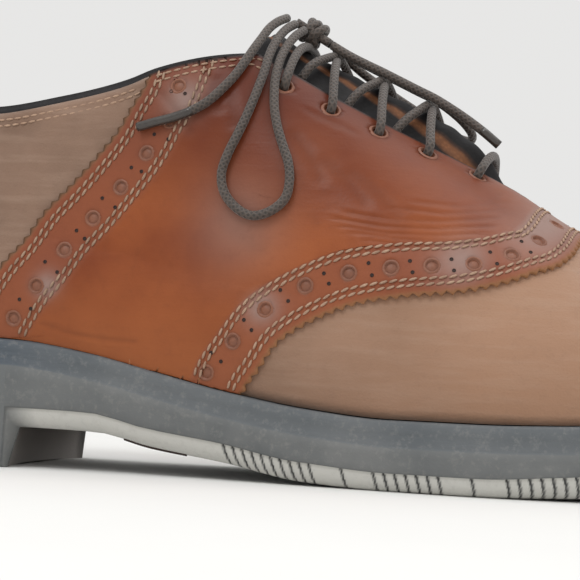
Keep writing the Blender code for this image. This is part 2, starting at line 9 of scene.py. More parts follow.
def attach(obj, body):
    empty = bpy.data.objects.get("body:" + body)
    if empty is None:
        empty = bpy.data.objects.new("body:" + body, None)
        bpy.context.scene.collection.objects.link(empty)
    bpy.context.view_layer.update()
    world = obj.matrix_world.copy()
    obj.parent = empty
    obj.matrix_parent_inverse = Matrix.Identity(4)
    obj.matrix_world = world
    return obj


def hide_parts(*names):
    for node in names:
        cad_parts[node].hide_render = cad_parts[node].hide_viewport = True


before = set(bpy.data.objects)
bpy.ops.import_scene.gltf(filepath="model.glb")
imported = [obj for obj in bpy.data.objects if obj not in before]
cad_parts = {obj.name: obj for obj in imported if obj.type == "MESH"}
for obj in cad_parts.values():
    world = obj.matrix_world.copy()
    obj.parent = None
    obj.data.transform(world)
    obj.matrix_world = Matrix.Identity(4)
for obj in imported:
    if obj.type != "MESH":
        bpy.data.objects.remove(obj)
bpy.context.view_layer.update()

# Sizes of the shoe in metres. Places along it count from the back of the heel.
shoe = dict(length=0.305, ballWidth=0.108, instep=0.100, heelSide=0.037, foreSide=0.019, waist=0.0115,
            toeSpring=0.011, heelLength=0.061, ledge=0.004, gap=0.0003, bulge=0.0015, bulgeReach=0.030,
            heelLean=0.007, heelBulge=0.0015, toeBoxRound=0.034, toeBoxPower=2.4, collar=0.103,
            heelRound=0.038, heelPower=2.1, toeRound=0.092, toePower=2.3, throatEnd=0.200, throatTop=0.132,
            throatHalf=0.017, eyeletFirst=0.190, eyeletPitch=0.0135, eyeletInset=0.0075,
            edgeHeight=0.0055, edgeTuck=0.0045, mouldStep=0.0008, bandHeight=0.007, bandStep=0.0007,
            wall=0.002, saddleWall=0.0013, laceWidth=0.0026)
sectionNames = ("place", "swing", "half", "rise", "arch", "spring", "edge", "crest", "ridge", "power")
sectionTable = np.array((
    (0.00, 0.000, 0.330, 1.00, 0.00, 0.00, 0.3, 1.12, 0.00, 2.0),
    (0.06, 0.000, 0.333, 1.00, 0.00, 0.00, 0.3, 1.12, 0.00, 2.0),
    (0.12, 0.000, 0.337, 0.99, 0.00, 0.00, 0.3, 1.13, 0.00, 2.0),
    (0.20, -0.008, 0.333, 0.96, 1.00, 0.00, 1.0, 1.16, 0.00, 2.0),
    (0.28, -0.022, 0.328, 0.78, 0.97, 0.00, 1.0, 1.22, 0.01, 2.0),
    (0.34, -0.034, 0.334, 0.56, 0.66, 0.00, 1.0, 1.17, 0.02, 2.3),
    (0.41, -0.040, 0.356, 0.31, 0.42, 0.00, 1.0, 1.03, 0.025, 2.8),
    (0.49, -0.038, 0.396, 0.10, 0.08, 0.00, 1.0, 0.915, 0.03, 2.5),
    (0.57, -0.026, 0.444, 0.00, 0.00, 0.00, 0.9, 0.79, 0.035, 2.3),
    (0.65, -0.008, 0.490, 0.00, 0.00, 0.00, 0.9, 0.650, 0.045, 2.1),
    (0.72, 0.008, 0.500, 0.00, 0.00, 0.05, 1.05, 0.515, 0.05, 2.2),
    (0.80, 0.025, 0.488, 0.00, 0.00, 0.18, 1.2, 0.385, 0.05, 2.3),
    (0.88, 0.042, 0.462, 0.00, 0.00, 0.43, 1.2, 0.300, 0.04, 2.4),
    (1.00, 0.062, 0.420, 0.00, 0.00, 1.00, 1.2, 0.245, 0.02, 2.4)))
topline = np.array(((-0.05, 1.035), (0.00, 1.030), (0.06, 1.010), (0.13, 0.995), (0.17, 1.002), (0.235, 1.037),
                    (0.266, 1.059), (0.297, 1.088), (0.32, 1.117), (0.365, 1.152), (0.435, 1.185)))
rearBorder = np.array(((0.135, 0.250), (0.145, 0.340), (0.168, 0.455), (0.1915, 0.560), (0.208, 0.617),
                       (0.227, 0.700), (0.253, 0.783), (0.274, 0.857), (0.2935, 0.934), (0.305, 1.003),
                       (0.3145, 1.054), (0.328, 1.200)))
frontBorder = np.array(((0.420, 0.160), (0.429, 0.238), (0.444, 0.301), (0.462, 0.375), (0.491, 0.433),
                        (0.531, 0.4825), (0.577, 0.508), (0.6215, 0.523), (0.665, 0.555), (0.6855, 0.580),
                        (0.7065, 0.606), (0.7175, 0.651), (0.720, 0.700)))
throatPlan = np.array(((0.00, 0.12), (0.03, 0.24), (0.10, 0.40), (0.30, 0.66), (0.60, 0.88), (1.00, 1.00),
                       (1.25, 1.06)))

# The camera stands low on the outer side, tilted a little as in the photograph
view = dict(azimuth=12.6, distance=0.55, height=0.035, roll=2.45, pitch=1.85, aimX=-0.0075, nearY=-0.048,
            focal=2038.6)


def makeCamera():
    azimuth, pitch, roll = (math.radians(view[key]) for key in ("azimuth", "pitch", "roll"))
    level = Vector((-math.sin(azimuth), math.cos(azimuth), 0.0))
    ahead = level * math.cos(pitch) + Vector((0, 0, math.sin(pitch)))
    right = ahead.cross(Vector((0, 0, 1))).normalized()
    above = right.cross(ahead)
    tiltedRight = right * math.cos(roll) + above * math.sin(roll)
    tiltedUp = above * math.cos(roll) - right * math.sin(roll)
    place = Vector((view["aimX"], view["nearY"], view["height"])) - level * view["distance"]
    camera = bpy.data.objects.new("camera", bpy.data.cameras.new("camera"))
    camera.data.sensor_width = 36.0
    camera.data.lens = view["focal"] * 36.0 / 580.0
    camera.data.clip_start = 0.01
    basis = Matrix((tiltedRight, tiltedUp, -ahead)).transposed().to_4x4()
    camera.matrix_world = Matrix.Translation(place) @ basis
    bpy.context.scene.collection.objects.link(camera)
    bpy.context.scene.camera = camera


makeCamera()
print("camera is set")


# Tables read as smooth curves
def smoothCurve(places, values, at):
    steps = np.diff(values) / np.diff(places)
    slopes = np.zeros(len(values))
    slopes[0], slopes[-1] = steps[0], steps[-1]
    both = steps[:-1] * steps[1:]
    total = steps[:-1] + steps[1:]
    slopes[1:-1] = np.where(both > 0, 2 * both / np.where(both > 0, total, 1.0), 0.0)
    at = np.clip(at, places[0], places[-1])
    row = np.clip(np.searchsorted(places, at, side="right") - 1, 0, len(places) - 2)
    span = places[row + 1] - places[row]
    t = (at - places[row]) / span
    start = (1 + 2 * t) * (1 - t) ** 2 * values[row] + t * (1 - t) ** 2 * span * slopes[row]
    end = t * t * (3 - 2 * t) * values[row + 1] + t * t * (t - 1) * span * slopes[row + 1]
    return start + end


def section(name, place):
    return smoothCurve(sectionTable[:, 0], sectionTable[:, sectionNames.index(name)], place)


def endRound(distance, reach, power):
    near = np.clip(distance / reach, 0.0, 1.0)
    return (1 - (1 - near) ** power) ** (1 / power)


def halfWidth(along, inset):
    rear = endRound(along - inset, shoe["heelRound"] - inset, shoe["heelPower"])
    front = endRound(shoe["length"] - inset - along, shoe["toeRound"] - inset, shoe["toePower"])
    return (section("half", along / shoe["length"]) * shoe["ballWidth"] - inset) * rear * front


def swingY(along):
    return section("swing", along / shoe["length"]) * shoe["ballWidth"]


trial = np.linspace(0.3, 0.95, 131) * shoe["length"]
planShift = (np.min(swingY(trial) - halfWidth(trial, 0.0)) + np.max(swingY(trial) + halfWidth(trial, 0.0))) / 2


def centreY(along):
    return swingY(along) - planShift


def soleTop(along):
    place = along / shoe["length"]
    rise = section("rise", place) * (shoe["heelSide"] - shoe["foreSide"])
    return shoe["foreSide"] + rise + section("spring", place) * shoe["toeSpring"]


# A point of the last. turn runs from the outer feather (0) over the crest to the inner one.
def lastPoint(along, turn, out):
    inset = shoe["ledge"] - out
    along = np.clip(along, inset, shoe["length"] - inset)
    place = along / shoe["length"]
    half = halfWidth(along, inset)
    height = section("crest", place) * shoe["instep"] + out
    height = height * endRound(shoe["length"] - along - inset, shoe["toeBoxRound"], shoe["toeBoxPower"])
    power = section("power", place)
    sine = np.clip(np.sin(turn), 0.0, 1.0)
    cosine = np.cos(turn)
    rise = height * sine ** (2 / power)
    reach = np.sign(cosine) * np.abs(cosine) ** (2 / power)
    swell = shoe["bulge"] * np.sin(np.pi * np.minimum(rise / shoe["bulgeReach"], 1.0))
    roundShare = half / (section("half", place) * shoe["ballWidth"] - inset)
    ridge = section("ridge", place) * shoe["ballWidth"] * sine ** 2 * roundShare
    up = rise / (shoe["collar"] - shoe["heelSide"])
    heelShare = np.maximum(0.0, 1 - place / 0.22) ** 2
    lean = shoe["heelLean"] * up * up - shoe["heelBulge"] * np.sin(np.pi * np.minimum(up, 1.0))
    x = along - shoe["length"] / 2 + lean * heelShare
    y = centreY(along) - reach * (half + swell * roundShare) + ridge
    return np.stack(np.broadcast_arrays(x, y, soleTop(along) + shoe["gap"] + rise), axis=-1)


# Heights over the shell as even shares of the way round: 0 outer feather, 1 crest, 2 inner feather
stations = np.linspace(0.0042, 0.3008, 594)
turnSteps = math.pi / 2 * (0.5 - 0.5 * np.cos(np.linspace(0, math.pi, 241)))
shareSteps = np.linspace(0.0, 1.0, 241)


def sideTables(far):
    turns = math.pi - turnSteps if far else turnSteps
    grid = lastPoint(stations[:, None], turns[None, :], 0.0)
    spans = np.linalg.norm(np.diff(grid, axis=1), axis=2)
    travel = np.concatenate([np.zeros((len(stations), 1)), np.cumsum(spans, axis=1)], axis=1)
    shares = travel / travel[:, -1:]
    table = np.array([np.interp(shareSteps, row, turnSteps) for row in shares])
    return grid, shares, travel[:, -1], table


nearGrid, nearShares, nearReach, nearTurns = sideTables(False)
farGrid, farShares, farReach, farTurns = sideTables(True)


def readTable(table, along, share):
    column = np.clip((along - stations[0]) / (stations[1] - stations[0]), 0, len(stations) - 1.0001)
    row = np.clip(share, 0, 1) * (len(shareSteps) - 1.0001)
    i, j = column.astype(int), row.astype(int)
    s, t = column - i, row - j
    low = table[i, j] * (1 - t) + table[i, j + 1] * t
    high = table[i + 1, j] * (1 - t) + table[i + 1, j + 1] * t
    return low * (1 - s) + high * s


def turnOf(along, share):
    along, share = np.broadcast_arrays(np.asarray(along, float), np.asarray(share, float))
    near = readTable(nearTurns, along, share)
    far = readTable(farTurns, along, 2 - share)
    return np.where(share <= 1, near, math.pi - far)


def shell(along, share, out=0.0):
    point = lastPoint(along, turnOf(along, share), out)
    below = np.minimum(share, 0) + np.minimum(2 - share, 0)
    point[..., 2] += below * np.interp(along, stations, nearReach)
    return point


def shellNormal(along, share, out=0.0):
    ahead = shell(along + 0.0004, share, out) - shell(along - 0.0004, share, out)
    around = shell(along, share + 0.004, out) - shell(along, share - 0.004, out)
    normal = np.cross(ahead, around)
    return normal / np.maximum(np.linalg.norm(normal, axis=-1, keepdims=True), 1e-12)


# Finds the place on the shell nearest a target, from a start close to it
def slideTo(along, share, target, out=0.0, rounds=4):
    for _ in range(rounds):
        point = shell(along, share, out)
        ahead = (shell(along + 0.0003, share, out) - point) / 0.0003
        around = (shell(along, share + 0.003, out) - point) / 0.003
        miss = target - point
        aa, ab, bb = ((ahead * ahead).sum(-1), (ahead * around).sum(-1), (around * around).sum(-1))
        ma, mb = (ahead * miss).sum(-1), (around * miss).sum(-1)
        scale = aa * bb - ab * ab
        along = along + np.clip((ma * bb - mb * ab) / scale, -0.006, 0.006)
        share = share + np.clip((mb * aa - ma * ab) / scale, -0.06, 0.06)
    return along, share


# The top edge of the shell on each side: the topline behind, the throat's edge before it
def throatHalfAt(along):
    share = (shoe["throatEnd"] - along) / (shoe["throatEnd"] - shoe["throatTop"])
    return smoothCurve(throatPlan[:, 0], throatPlan[:, 1], share) * shoe["throatHalf"]


def toplineHeight(along):
    return smoothCurve(topline[:, 0], topline[:, 1], along / shoe["length"]) * shoe["collar"]


def topShares(grid, shares, setback):
    tops = []
    for at, along in enumerate(stations):
        place = along / shoe["length"]
        limit = toplineHeight(along) - setback
        top = np.interp(limit, grid[at, :, 2], shares[at]) if grid[at, -1, 2] > limit else 1.0
        if shoe["throatEnd"] + setback >= along > 0.116:
            middle = centreY(along) + section("ridge", place) * shoe["ballWidth"]
            across = np.abs(grid[at, :, 1] - middle)[::-1]
            top = min(top, np.interp(throatHalfAt(along) + setback, across, shares[at][::-1]))
        tops.append(float(top))
    return np.array(tops)


def topLimit(setback):
    near = topShares(nearGrid, nearShares, setback)
    far = topShares(farGrid, farShares, setback)
    return near, far


def toFloat(mesh, name, values):
    layer = mesh.attributes.new(name, "FLOAT", "POINT")
    layer.data.foreach_set("value", np.asarray(values, np.float32).ravel())


# A grid of points as a mesh, with named masks that its material reads
def gridMesh(name, points, masks=None):
    rows, columns = points.shape[:2]
    shape = bmesh.new()
    bmesh.ops.create_grid(shape, x_segments=rows - 1, y_segments=columns - 1, size=1.0)
    mesh = bpy.data.meshes.new(name)
    shape.to_mesh(mesh)
    shape.free()
    flat = np.empty(len(mesh.vertices) * 3)
    mesh.vertices.foreach_get("co", flat)
    flat = flat.reshape(-1, 3)
    i = np.rint((flat[:, 0] + 1) / 2 * (rows - 1)).astype(int)
    j = np.rint((flat[:, 1] + 1) / 2 * (columns - 1)).astype(int)
    mesh.vertices.foreach_set("co", points[i, j].ravel())
    for key, values in (masks or {}).items():
        toFloat(mesh, key, values[i, j])
    mesh.update()
    return mesh


def joinMeshes(name, meshes, weld=0.00001, outward=None):
    shape = bmesh.new()
    for mesh in meshes:
        shape.from_mesh(mesh)
        bpy.data.meshes.remove(mesh)
    bmesh.ops.remove_doubles(shape, verts=shape.verts, dist=weld)
    bmesh.ops.dissolve_degenerate(shape, edges=shape.edges, dist=0.000004)
    if outward is not None:
        turned = [face for face in shape.faces if outward(face) < 0]
        bmesh.ops.reverse_faces(shape, faces=turned)
    mesh = bpy.data.meshes.new(name)
    shape.to_mesh(mesh)
    shape.free()
    return mesh


def addPiece(name, mesh, material, replaced=()):
    mesh.shade_smooth()
    mesh.materials.clear()
    mesh.materials.append(material)
    piece = bpy.data.objects.new(name, mesh)
    bpy.context.scene.collection.objects.link(piece)
    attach(piece, "root")
    if replaced:
        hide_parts(*replaced)
    return piece


def outFromMiddle(face):
    centre = face.calc_center_median()
    along = min(max(centre.x + shoe["length"] / 2, 0.02), 0.27)
    core = Vector((along - shoe["length"] / 2, float(centreY(along)), float(soleTop(along)) + 0.012))
    if centre.x + shoe["length"] / 2 > 0.16:
        core.z -= 0.004
    return face.normal.dot(centre - core)


# Shader groups shared by the materials
def newGroup(name, inputs, outputs):
    group = bpy.data.node_groups.new(name, "ShaderNodeTree")
    for label, kind, value in inputs:
        socket = group.interface.new_socket(label, in_out="INPUT", socket_type=kind)
        if value is not None:
            socket.default_value = value
    for label, kind in outputs:
        group.interface.new_socket(label, in_out="OUTPUT", socket_type=kind)
    start = group.nodes.new("NodeGroupInput")
    end = group.nodes.new("NodeGroupOutput")
    return group, start, end


class Wires:
    def __init__(self, tree):
        self.tree = tree

    def add(self, kind, **settings):
        node = self.tree.nodes.new(kind)
        for key, value in settings.items():
            setattr(node, key, value)
        return node

    def link(self, source, target):
        self.tree.links.new(source, target)

    def coords(self):
        return self.add("ShaderNodeTexCoord").outputs["Object"]

    def ramp(self, value, low, high):
        node = self.add("ShaderNodeMapRange")
        node.inputs["From Min"].default_value = low
        node.inputs["From Max"].default_value = high
        self.link(value, node.inputs["Value"])
        return node.outputs["Result"]

    def math(self, operation, first, second):
        node = self.add("ShaderNodeMath", operation=operation)
        for at, value in enumerate((first, second)):
            if isinstance(value, (int, float)):
                node.inputs[at].default_value = value
            else:
                self.link(value, node.inputs[at])
        return node.outputs[0]

    def mix(self, mask, first, second):
        node = self.add("ShaderNodeMix", data_type="RGBA")
        for at, value in ((0, mask), (6, first), (7, second)):
            if isinstance(value, tuple):
                node.inputs[at].default_value = (*value, 1.0)
            elif isinstance(value, (int, float)):
                node.inputs[at].default_value = value
            else:
                self.link(value, node.inputs[at])
        return node.outputs[2]

    def mask(self, name):
        return self.add("ShaderNodeAttribute", attribute_name=name).outputs["Fac"]

    def bump(self, height, strength, distance, below=None):
        node = self.add("ShaderNodeBump")
        node.inputs["Strength"].default_value = strength
        node.inputs["Distance"].default_value = distance
        self.link(height, node.inputs["Height"])
        if below is not None:
            self.link(below, node.inputs["Normal"])
        return node.outputs["Normal"]


# Grain: pebbled cells with fine noise over them, as a height and a mask of its low places
def makeGrainGroup():
    inputs = [("Vector", "NodeSocketVector", None), ("Scale", "NodeSocketFloat", 900.0)]
    outputs = [(label, "NodeSocketFloat") for label in ("Height", "Low")]
    group, start, end = newGroup("leatherGrain", inputs, outputs)
    wires = Wires(group)
    cells = wires.add("ShaderNodeTexVoronoi", feature="F1")
    wires.link(start.outputs["Vector"], cells.inputs["Vector"])
    wires.link(start.outputs["Scale"], cells.inputs["Scale"])
    fine = wires.add("ShaderNodeTexNoise")
    fine.inputs["Detail"].default_value = 6.0
    wires.link(start.outputs["Vector"], fine.inputs["Vector"])
    wires.link(start.outputs["Scale"], fine.inputs["Scale"])
    wires.link(wires.math("ADD", wires.math("MULTIPLY", cells.outputs["Distance"], 0.6), fine.outputs["Fac"]),
               end.inputs["Height"])
    wires.link(wires.ramp(cells.outputs["Distance"], 0.15, 0.6), end.inputs["Low"])
    return group


# Wear: soft patches at two sizes, for rubbed and dusty places
def makeWearGroup():
    inputs = [("Vector", "NodeSocketVector", None), ("Scale", "NodeSocketFloat", 30.0)]
    outputs = [(label, "NodeSocketFloat") for label in ("Broad", "Specks", "Streaks")]
    group, start, end = newGroup("wearPatches", inputs, outputs)
    wires = Wires(group)
    broad = wires.add("ShaderNodeTexNoise")
    broad.inputs["Detail"].default_value = 4.0
    specks = wires.add("ShaderNodeTexNoise")
    specks.inputs["Detail"].default_value = 8.0
    specks.inputs["Roughness"].default_value = 0.7
    stretch = wires.add("ShaderNodeMapping")
    stretch.inputs["Scale"].default_value = (0.35, 1.0, 2.6)
    streaks = wires.add("ShaderNodeTexNoise")
    streaks.inputs["Detail"].default_value = 5.0
    wires.link(start.outputs["Vector"], stretch.inputs["Vector"])
    for node, vector, factor in ((broad, start.outputs["Vector"], 1.0), (specks, start.outputs["Vector"], 9.0),
                                 (streaks, stretch.outputs["Vector"], 4.0)):
        wires.link(vector, node.inputs["Vector"])
        wires.link(wires.math("MULTIPLY", start.outputs["Scale"], factor), node.inputs["Scale"])
    wires.link(wires.ramp(broad.outputs["Fac"], 0.35, 0.68), end.inputs["Broad"])
    wires.link(wires.ramp(specks.outputs["Fac"], 0.52, 0.72), end.inputs["Specks"])
    wires.link(wires.ramp(streaks.outputs["Fac"], 0.45, 0.7), end.inputs["Streaks"])
    return group


grainGroup = makeGrainGroup()
wearGroup = makeWearGroup()


def useGroup(wires, group, vector, scale):
    node = wires.add("ShaderNodeGroup")
    node.node_tree = group
    wires.link(vector, node.inputs["Vector"])
    node.inputs["Scale"].default_value = scale
    return node


def startMaterial(name, roughness, coat=0.0, sheen=0.0):
    material = bpy.data.materials.new(name)
    material.use_nodes = True
    shader = material.node_tree.nodes["Principled BSDF"]
    shader.inputs["Roughness"].default_value = roughness
    shader.inputs["Coat Weight"].default_value = coat
    shader.inputs["Coat Roughness"].default_value = 0.22
    shader.inputs["Sheen Weight"].default_value = sheen
    shader.inputs["Sheen Roughness"].default_value = 0.5
    return material, shader, Wires(material.node_tree)


# Nubuck: napped and mottled, darker low down and warmer towards the toe
def nubuckMaterial(name, dark, mid, pale):
    material, shader, wires = startMaterial(name, 0.86, sheen=0.25)
    spot = wires.coords()
    wear = useGroup(wires, wearGroup, spot, 38.0)
    grain = useGroup(wires, grainGroup, spot, 1500.0)
    split = wires.add("ShaderNodeSeparateXYZ")
    wires.link(spot, split.inputs[0])
    low = wires.ramp(split.outputs["Z"], 0.062, 0.022)
    front = wires.ramp(split.outputs["X"], -0.04, 0.05)
    colour = wires.mix(wear.outputs["Broad"], dark, mid)
    colour = wires.mix(wires.math("MULTIPLY", front, 0.8), colour, pale)
    colour = wires.mix(wires.math("MULTIPLY", wear.outputs["Streaks"], 0.16), colour, (0.46, 0.33, 0.25))
    colour = wires.mix(wires.math("MULTIPLY", low, 0.22), colour, (0.20, 0.105, 0.06))
    colour = wires.mix(wires.math("MULTIPLY", wear.outputs["Specks"], 0.16), colour, (0.16, 0.09, 0.06))
    wires.link(colour, shader.inputs["Base Color"])
    nap = wires.bump(grain.outputs["Height"], 0.22, 0.0004)
    wires.link(wires.bump(wear.outputs["Streaks"], 0.12, 0.0006, nap), shader.inputs["Normal"])
    return material


# Cognac leather: a low sheen, darker by the throat, duller on its punched bands, dark at its throat edge, with painted
# shade in its creases and round its holes, and pale scuffs that also carry a painted sheen
def cognacMaterial():
    material, shader, wires = startMaterial("cognacLeather", 0.42, coat=0.07)
    shader.inputs["Specular IOR Level"].default_value = 0.18
    spot = wires.coords()
    wear = useGroup(wires, wearGroup, spot, 32.0)
    grain = useGroup(wires, grainGroup, spot, 1100.0)
    split = wires.add("ShaderNodeSeparateXYZ")
    wires.link(spot, split.inputs[0])
    high = wires.ramp(split.outputs["Z"], 0.070, 0.108)
    low = wires.ramp(split.outputs["Z"], 0.060, 0.030)
    colour = wires.mix(wear.outputs["Broad"], (0.190, 0.042, 0.012), (0.300, 0.080, 0.023))
    colour = wires.mix(wires.math("MULTIPLY", high, 0.85), colour, (0.092, 0.015, 0.006))
    colour = wires.mix(wires.math("MULTIPLY", low, 0.5), colour, (0.320, 0.102, 0.033))
    colour = wires.mix(wires.math("MULTIPLY", wires.mask("band"), 0.55), colour, (0.235, 0.075, 0.040))
    # painted shade: near-black along the creases and in rings round the holes and eyelets
    colour = wires.mix(wires.math("MULTIPLY", wires.mask("creaseShade"), 0.6), colour, (0.055, 0.014, 0.007))
    # pale grey: real scuffs, and a painted sheen and highlight over the leather's middle
    colour = wires.mix(wires.math("MULTIPLY", wires.mask("scuffAndSheen"), 0.7), colour, (0.30, 0.225, 0.20))
    colour = wires.mix(wires.math("MULTIPLY", wear.outputs["Specks"], 0.14), colour, (0.10, 0.03, 0.015))
    colour = wires.mix(wires.mask("rawEdge"), colour, (0.31, 0.15, 0.07))
    colour = wires.mix(wires.math("MULTIPLY", wires.mask("facing"), 0.92), colour, (0.016, 0.011, 0.010))
    colour = wires.mix(wires.math("MULTIPLY", wires.mask("rearEdge"), 0.92), colour, (0.055, 0.033, 0.020))
    wires.link(colour, shader.inputs["Base Color"])
    rough = wires.math("ADD", 0.36, wires.math("MULTIPLY", wear.outputs["Broad"], 0.12))
    rough = wires.math("ADD", rough, wires.math("MULTIPLY", wires.mask("band"), 0.10))
    rough = wires.math("ADD", rough, wires.math("MULTIPLY", wires.mask("rawEdge"), 0.4))
    wires.link(rough, shader.inputs["Roughness"])
    fine = wires.bump(grain.outputs["Height"], 0.10, 0.0003)
    wires.link(wires.bump(wear.outputs["Streaks"], 0.05, 0.0008, fine), shader.inputs["Normal"])
    return material


# Plain finishes share one builder: a base colour broken up by wear and grain, with a second colour on any flank mask
def plainMaterial(name, base, worn, roughness, grainScale, bump, coat=0.0, sheen=0.0, share=0.5, wearScale=60.0,
                  flank=None):
    material, shader, wires = startMaterial(name, roughness, coat, sheen)
    spot = wires.coords()
    wear = useGroup(wires, wearGroup, spot, wearScale)
    grain = useGroup(wires, grainGroup, spot, grainScale)
    colour = wires.mix(wires.math("MULTIPLY", wear.outputs["Broad"], share), base, worn)
    if flank:
        colour = wires.mix(wires.mask("flank"), colour, flank)
    colour = wires.mix(wires.math("MULTIPLY", grain.outputs["Low"], 0.25), colour, tuple(c * 0.5 for c in base))
    wires.link(colour, shader.inputs["Base Color"])
    wires.link(wires.bump(grain.outputs["Height"], bump, 0.0004), shader.inputs["Normal"])
    return material


# Round waxed lace: braid plaits from the piece's own UV map, u along and v around
def laceMaterial():
    material, shader, wires = startMaterial("waxedLace", 0.55, sheen=0.2)
    place = wires.add("ShaderNodeUVMap").outputs["UV"]
    split = wires.add("ShaderNodeSeparateXYZ")
    wires.link(place, split.inputs[0])
    along = wires.math("MULTIPLY", split.outputs["X"], 2 * math.pi * 620.0)
    around = wires.math("MULTIPLY", split.outputs["Y"], 2 * math.pi * 5.0)
    first = wires.math("SINE", wires.math("ADD", along, around), 0.0)
    second = wires.math("SINE", wires.math("SUBTRACT", along, around), 0.0)
    plait = wires.ramp(wires.math("MAXIMUM", first, second), -0.6, 1.0)
    spot = wires.coords()
    wear = useGroup(wires, wearGroup, spot, 120.0)
    colour = wires.mix(plait, (0.018, 0.0135, 0.011), (0.070, 0.051, 0.040))
    colour = wires.mix(wires.math("MULTIPLY", wear.outputs["Broad"], 0.25), colour, (0.125, 0.095, 0.078))
    wires.link(colour, shader.inputs["Base Color"])
    wires.link(wires.bump(plait, 0.7, 0.00022), shader.inputs["Normal"])
    return material


# Rubber of the sole: grey, dusty, with a fibrous darker band at its top, painted shade in its grooves and painted light
# on the heel breast
def rubberMaterial():
    material, shader, wires = startMaterial("soleRubber", 0.62)
    spot = wires.coords()
    wear = useGroup(wires, wearGroup, spot, 55.0)
    grain = useGroup(wires, grainGroup, spot, 1700.0)
    colour = wires.mix(wear.outputs["Broad"], (0.105, 0.112, 0.114), (0.150, 0.154, 0.152))
    colour = wires.mix(wires.math("MULTIPLY", wires.mask("topBand"), 0.85), colour, (0.050, 0.068, 0.090))
    colour = wires.mix(wires.math("MULTIPLY", wires.mask("underEdge"), 0.90), colour, (0.56, 0.55, 0.51))
    colour = wires.mix(wires.math("MULTIPLY", wear.outputs["Specks"], 0.30), colour, (0.30, 0.29, 0.27))
    # painted shade: near-black inside the grooves
    colour = wires.mix(wires.mask("grooveAndShade"), colour, (0.018, 0.018, 0.018))
    # painted light: the heel breast painted paler where it lies in shadow
    colour = wires.mix(wires.mask("breast"), colour, (0.42, 0.37, 0.34))
    wires.link(colour, shader.inputs["Base Color"])
    fibre = wires.math("MULTIPLY", wires.mask("topBand"), wear.outputs["Streaks"])
    fine = wires.bump(grain.outputs["Height"], 0.16, 0.0003)
    wires.link(wires.bump(fibre, 0.3, 0.0005, fine), shader.inputs["Normal"])
    return material


nubuck = nubuckMaterial("nubuck", (0.185, 0.110, 0.073), (0.272, 0.164, 0.111), (0.372, 0.204, 0.121))
cognac = cognacMaterial()
waxedLace = laceMaterial()
soleRubber = rubberMaterial()
blackLining = plainMaterial("blackLining", (0.014, 0.013, 0.014), (0.034, 0.032, 0.034), 0.55, 900.0, 0.2)
tongueBlack = plainMaterial("tongueBlack", (0.012, 0.011, 0.012), (0.032, 0.029, 0.029), 0.58, 800.0, 0.25,
                            flank=(0.235, 0.095, 0.042))
sockTan = plainMaterial("sockTan", (0.36, 0.22, 0.13), (0.24, 0.14, 0.08), 0.65, 900.0, 0.2)
threadLook = dict(roughness=0.7, grainScale=2400.0, bump=0.4, share=0.7, wearScale=300.0)
threadPale = plainMaterial("threadPale", (0.46, 0.30, 0.205), (0.25, 0.14, 0.09), **threadLook)
threadOlive = plainMaterial("threadOlive", (0.40, 0.265, 0.18), (0.20, 0.12, 0.08), **threadLook)
pitLeather = plainMaterial("pitLeather", (0.235, 0.085, 0.043), (0.150, 0.050, 0.025), 0.50, 900.0, 0.2)
# Near-black: painted shade inside the pin holes; also used for the dark line under the arch
pinDark = plainMaterial("pinDark", (0.030, 0.012, 0.008), (0.018, 0.008, 0.006), 0.7, 900.0, 0.2)
lacetip = plainMaterial("laceTip", (0.035, 0.028, 0.024), (0.07, 0.06, 0.05), 0.3, 900.0, 0.1, coat=0.3)
# The black leathers reflect little, so that they stay black under the pale room
for black in (blackLining, tongueBlack):
    black.node_tree.nodes["Principled BSDF"].inputs["Specular IOR Level"].default_value = 0.22
print("materials are made")

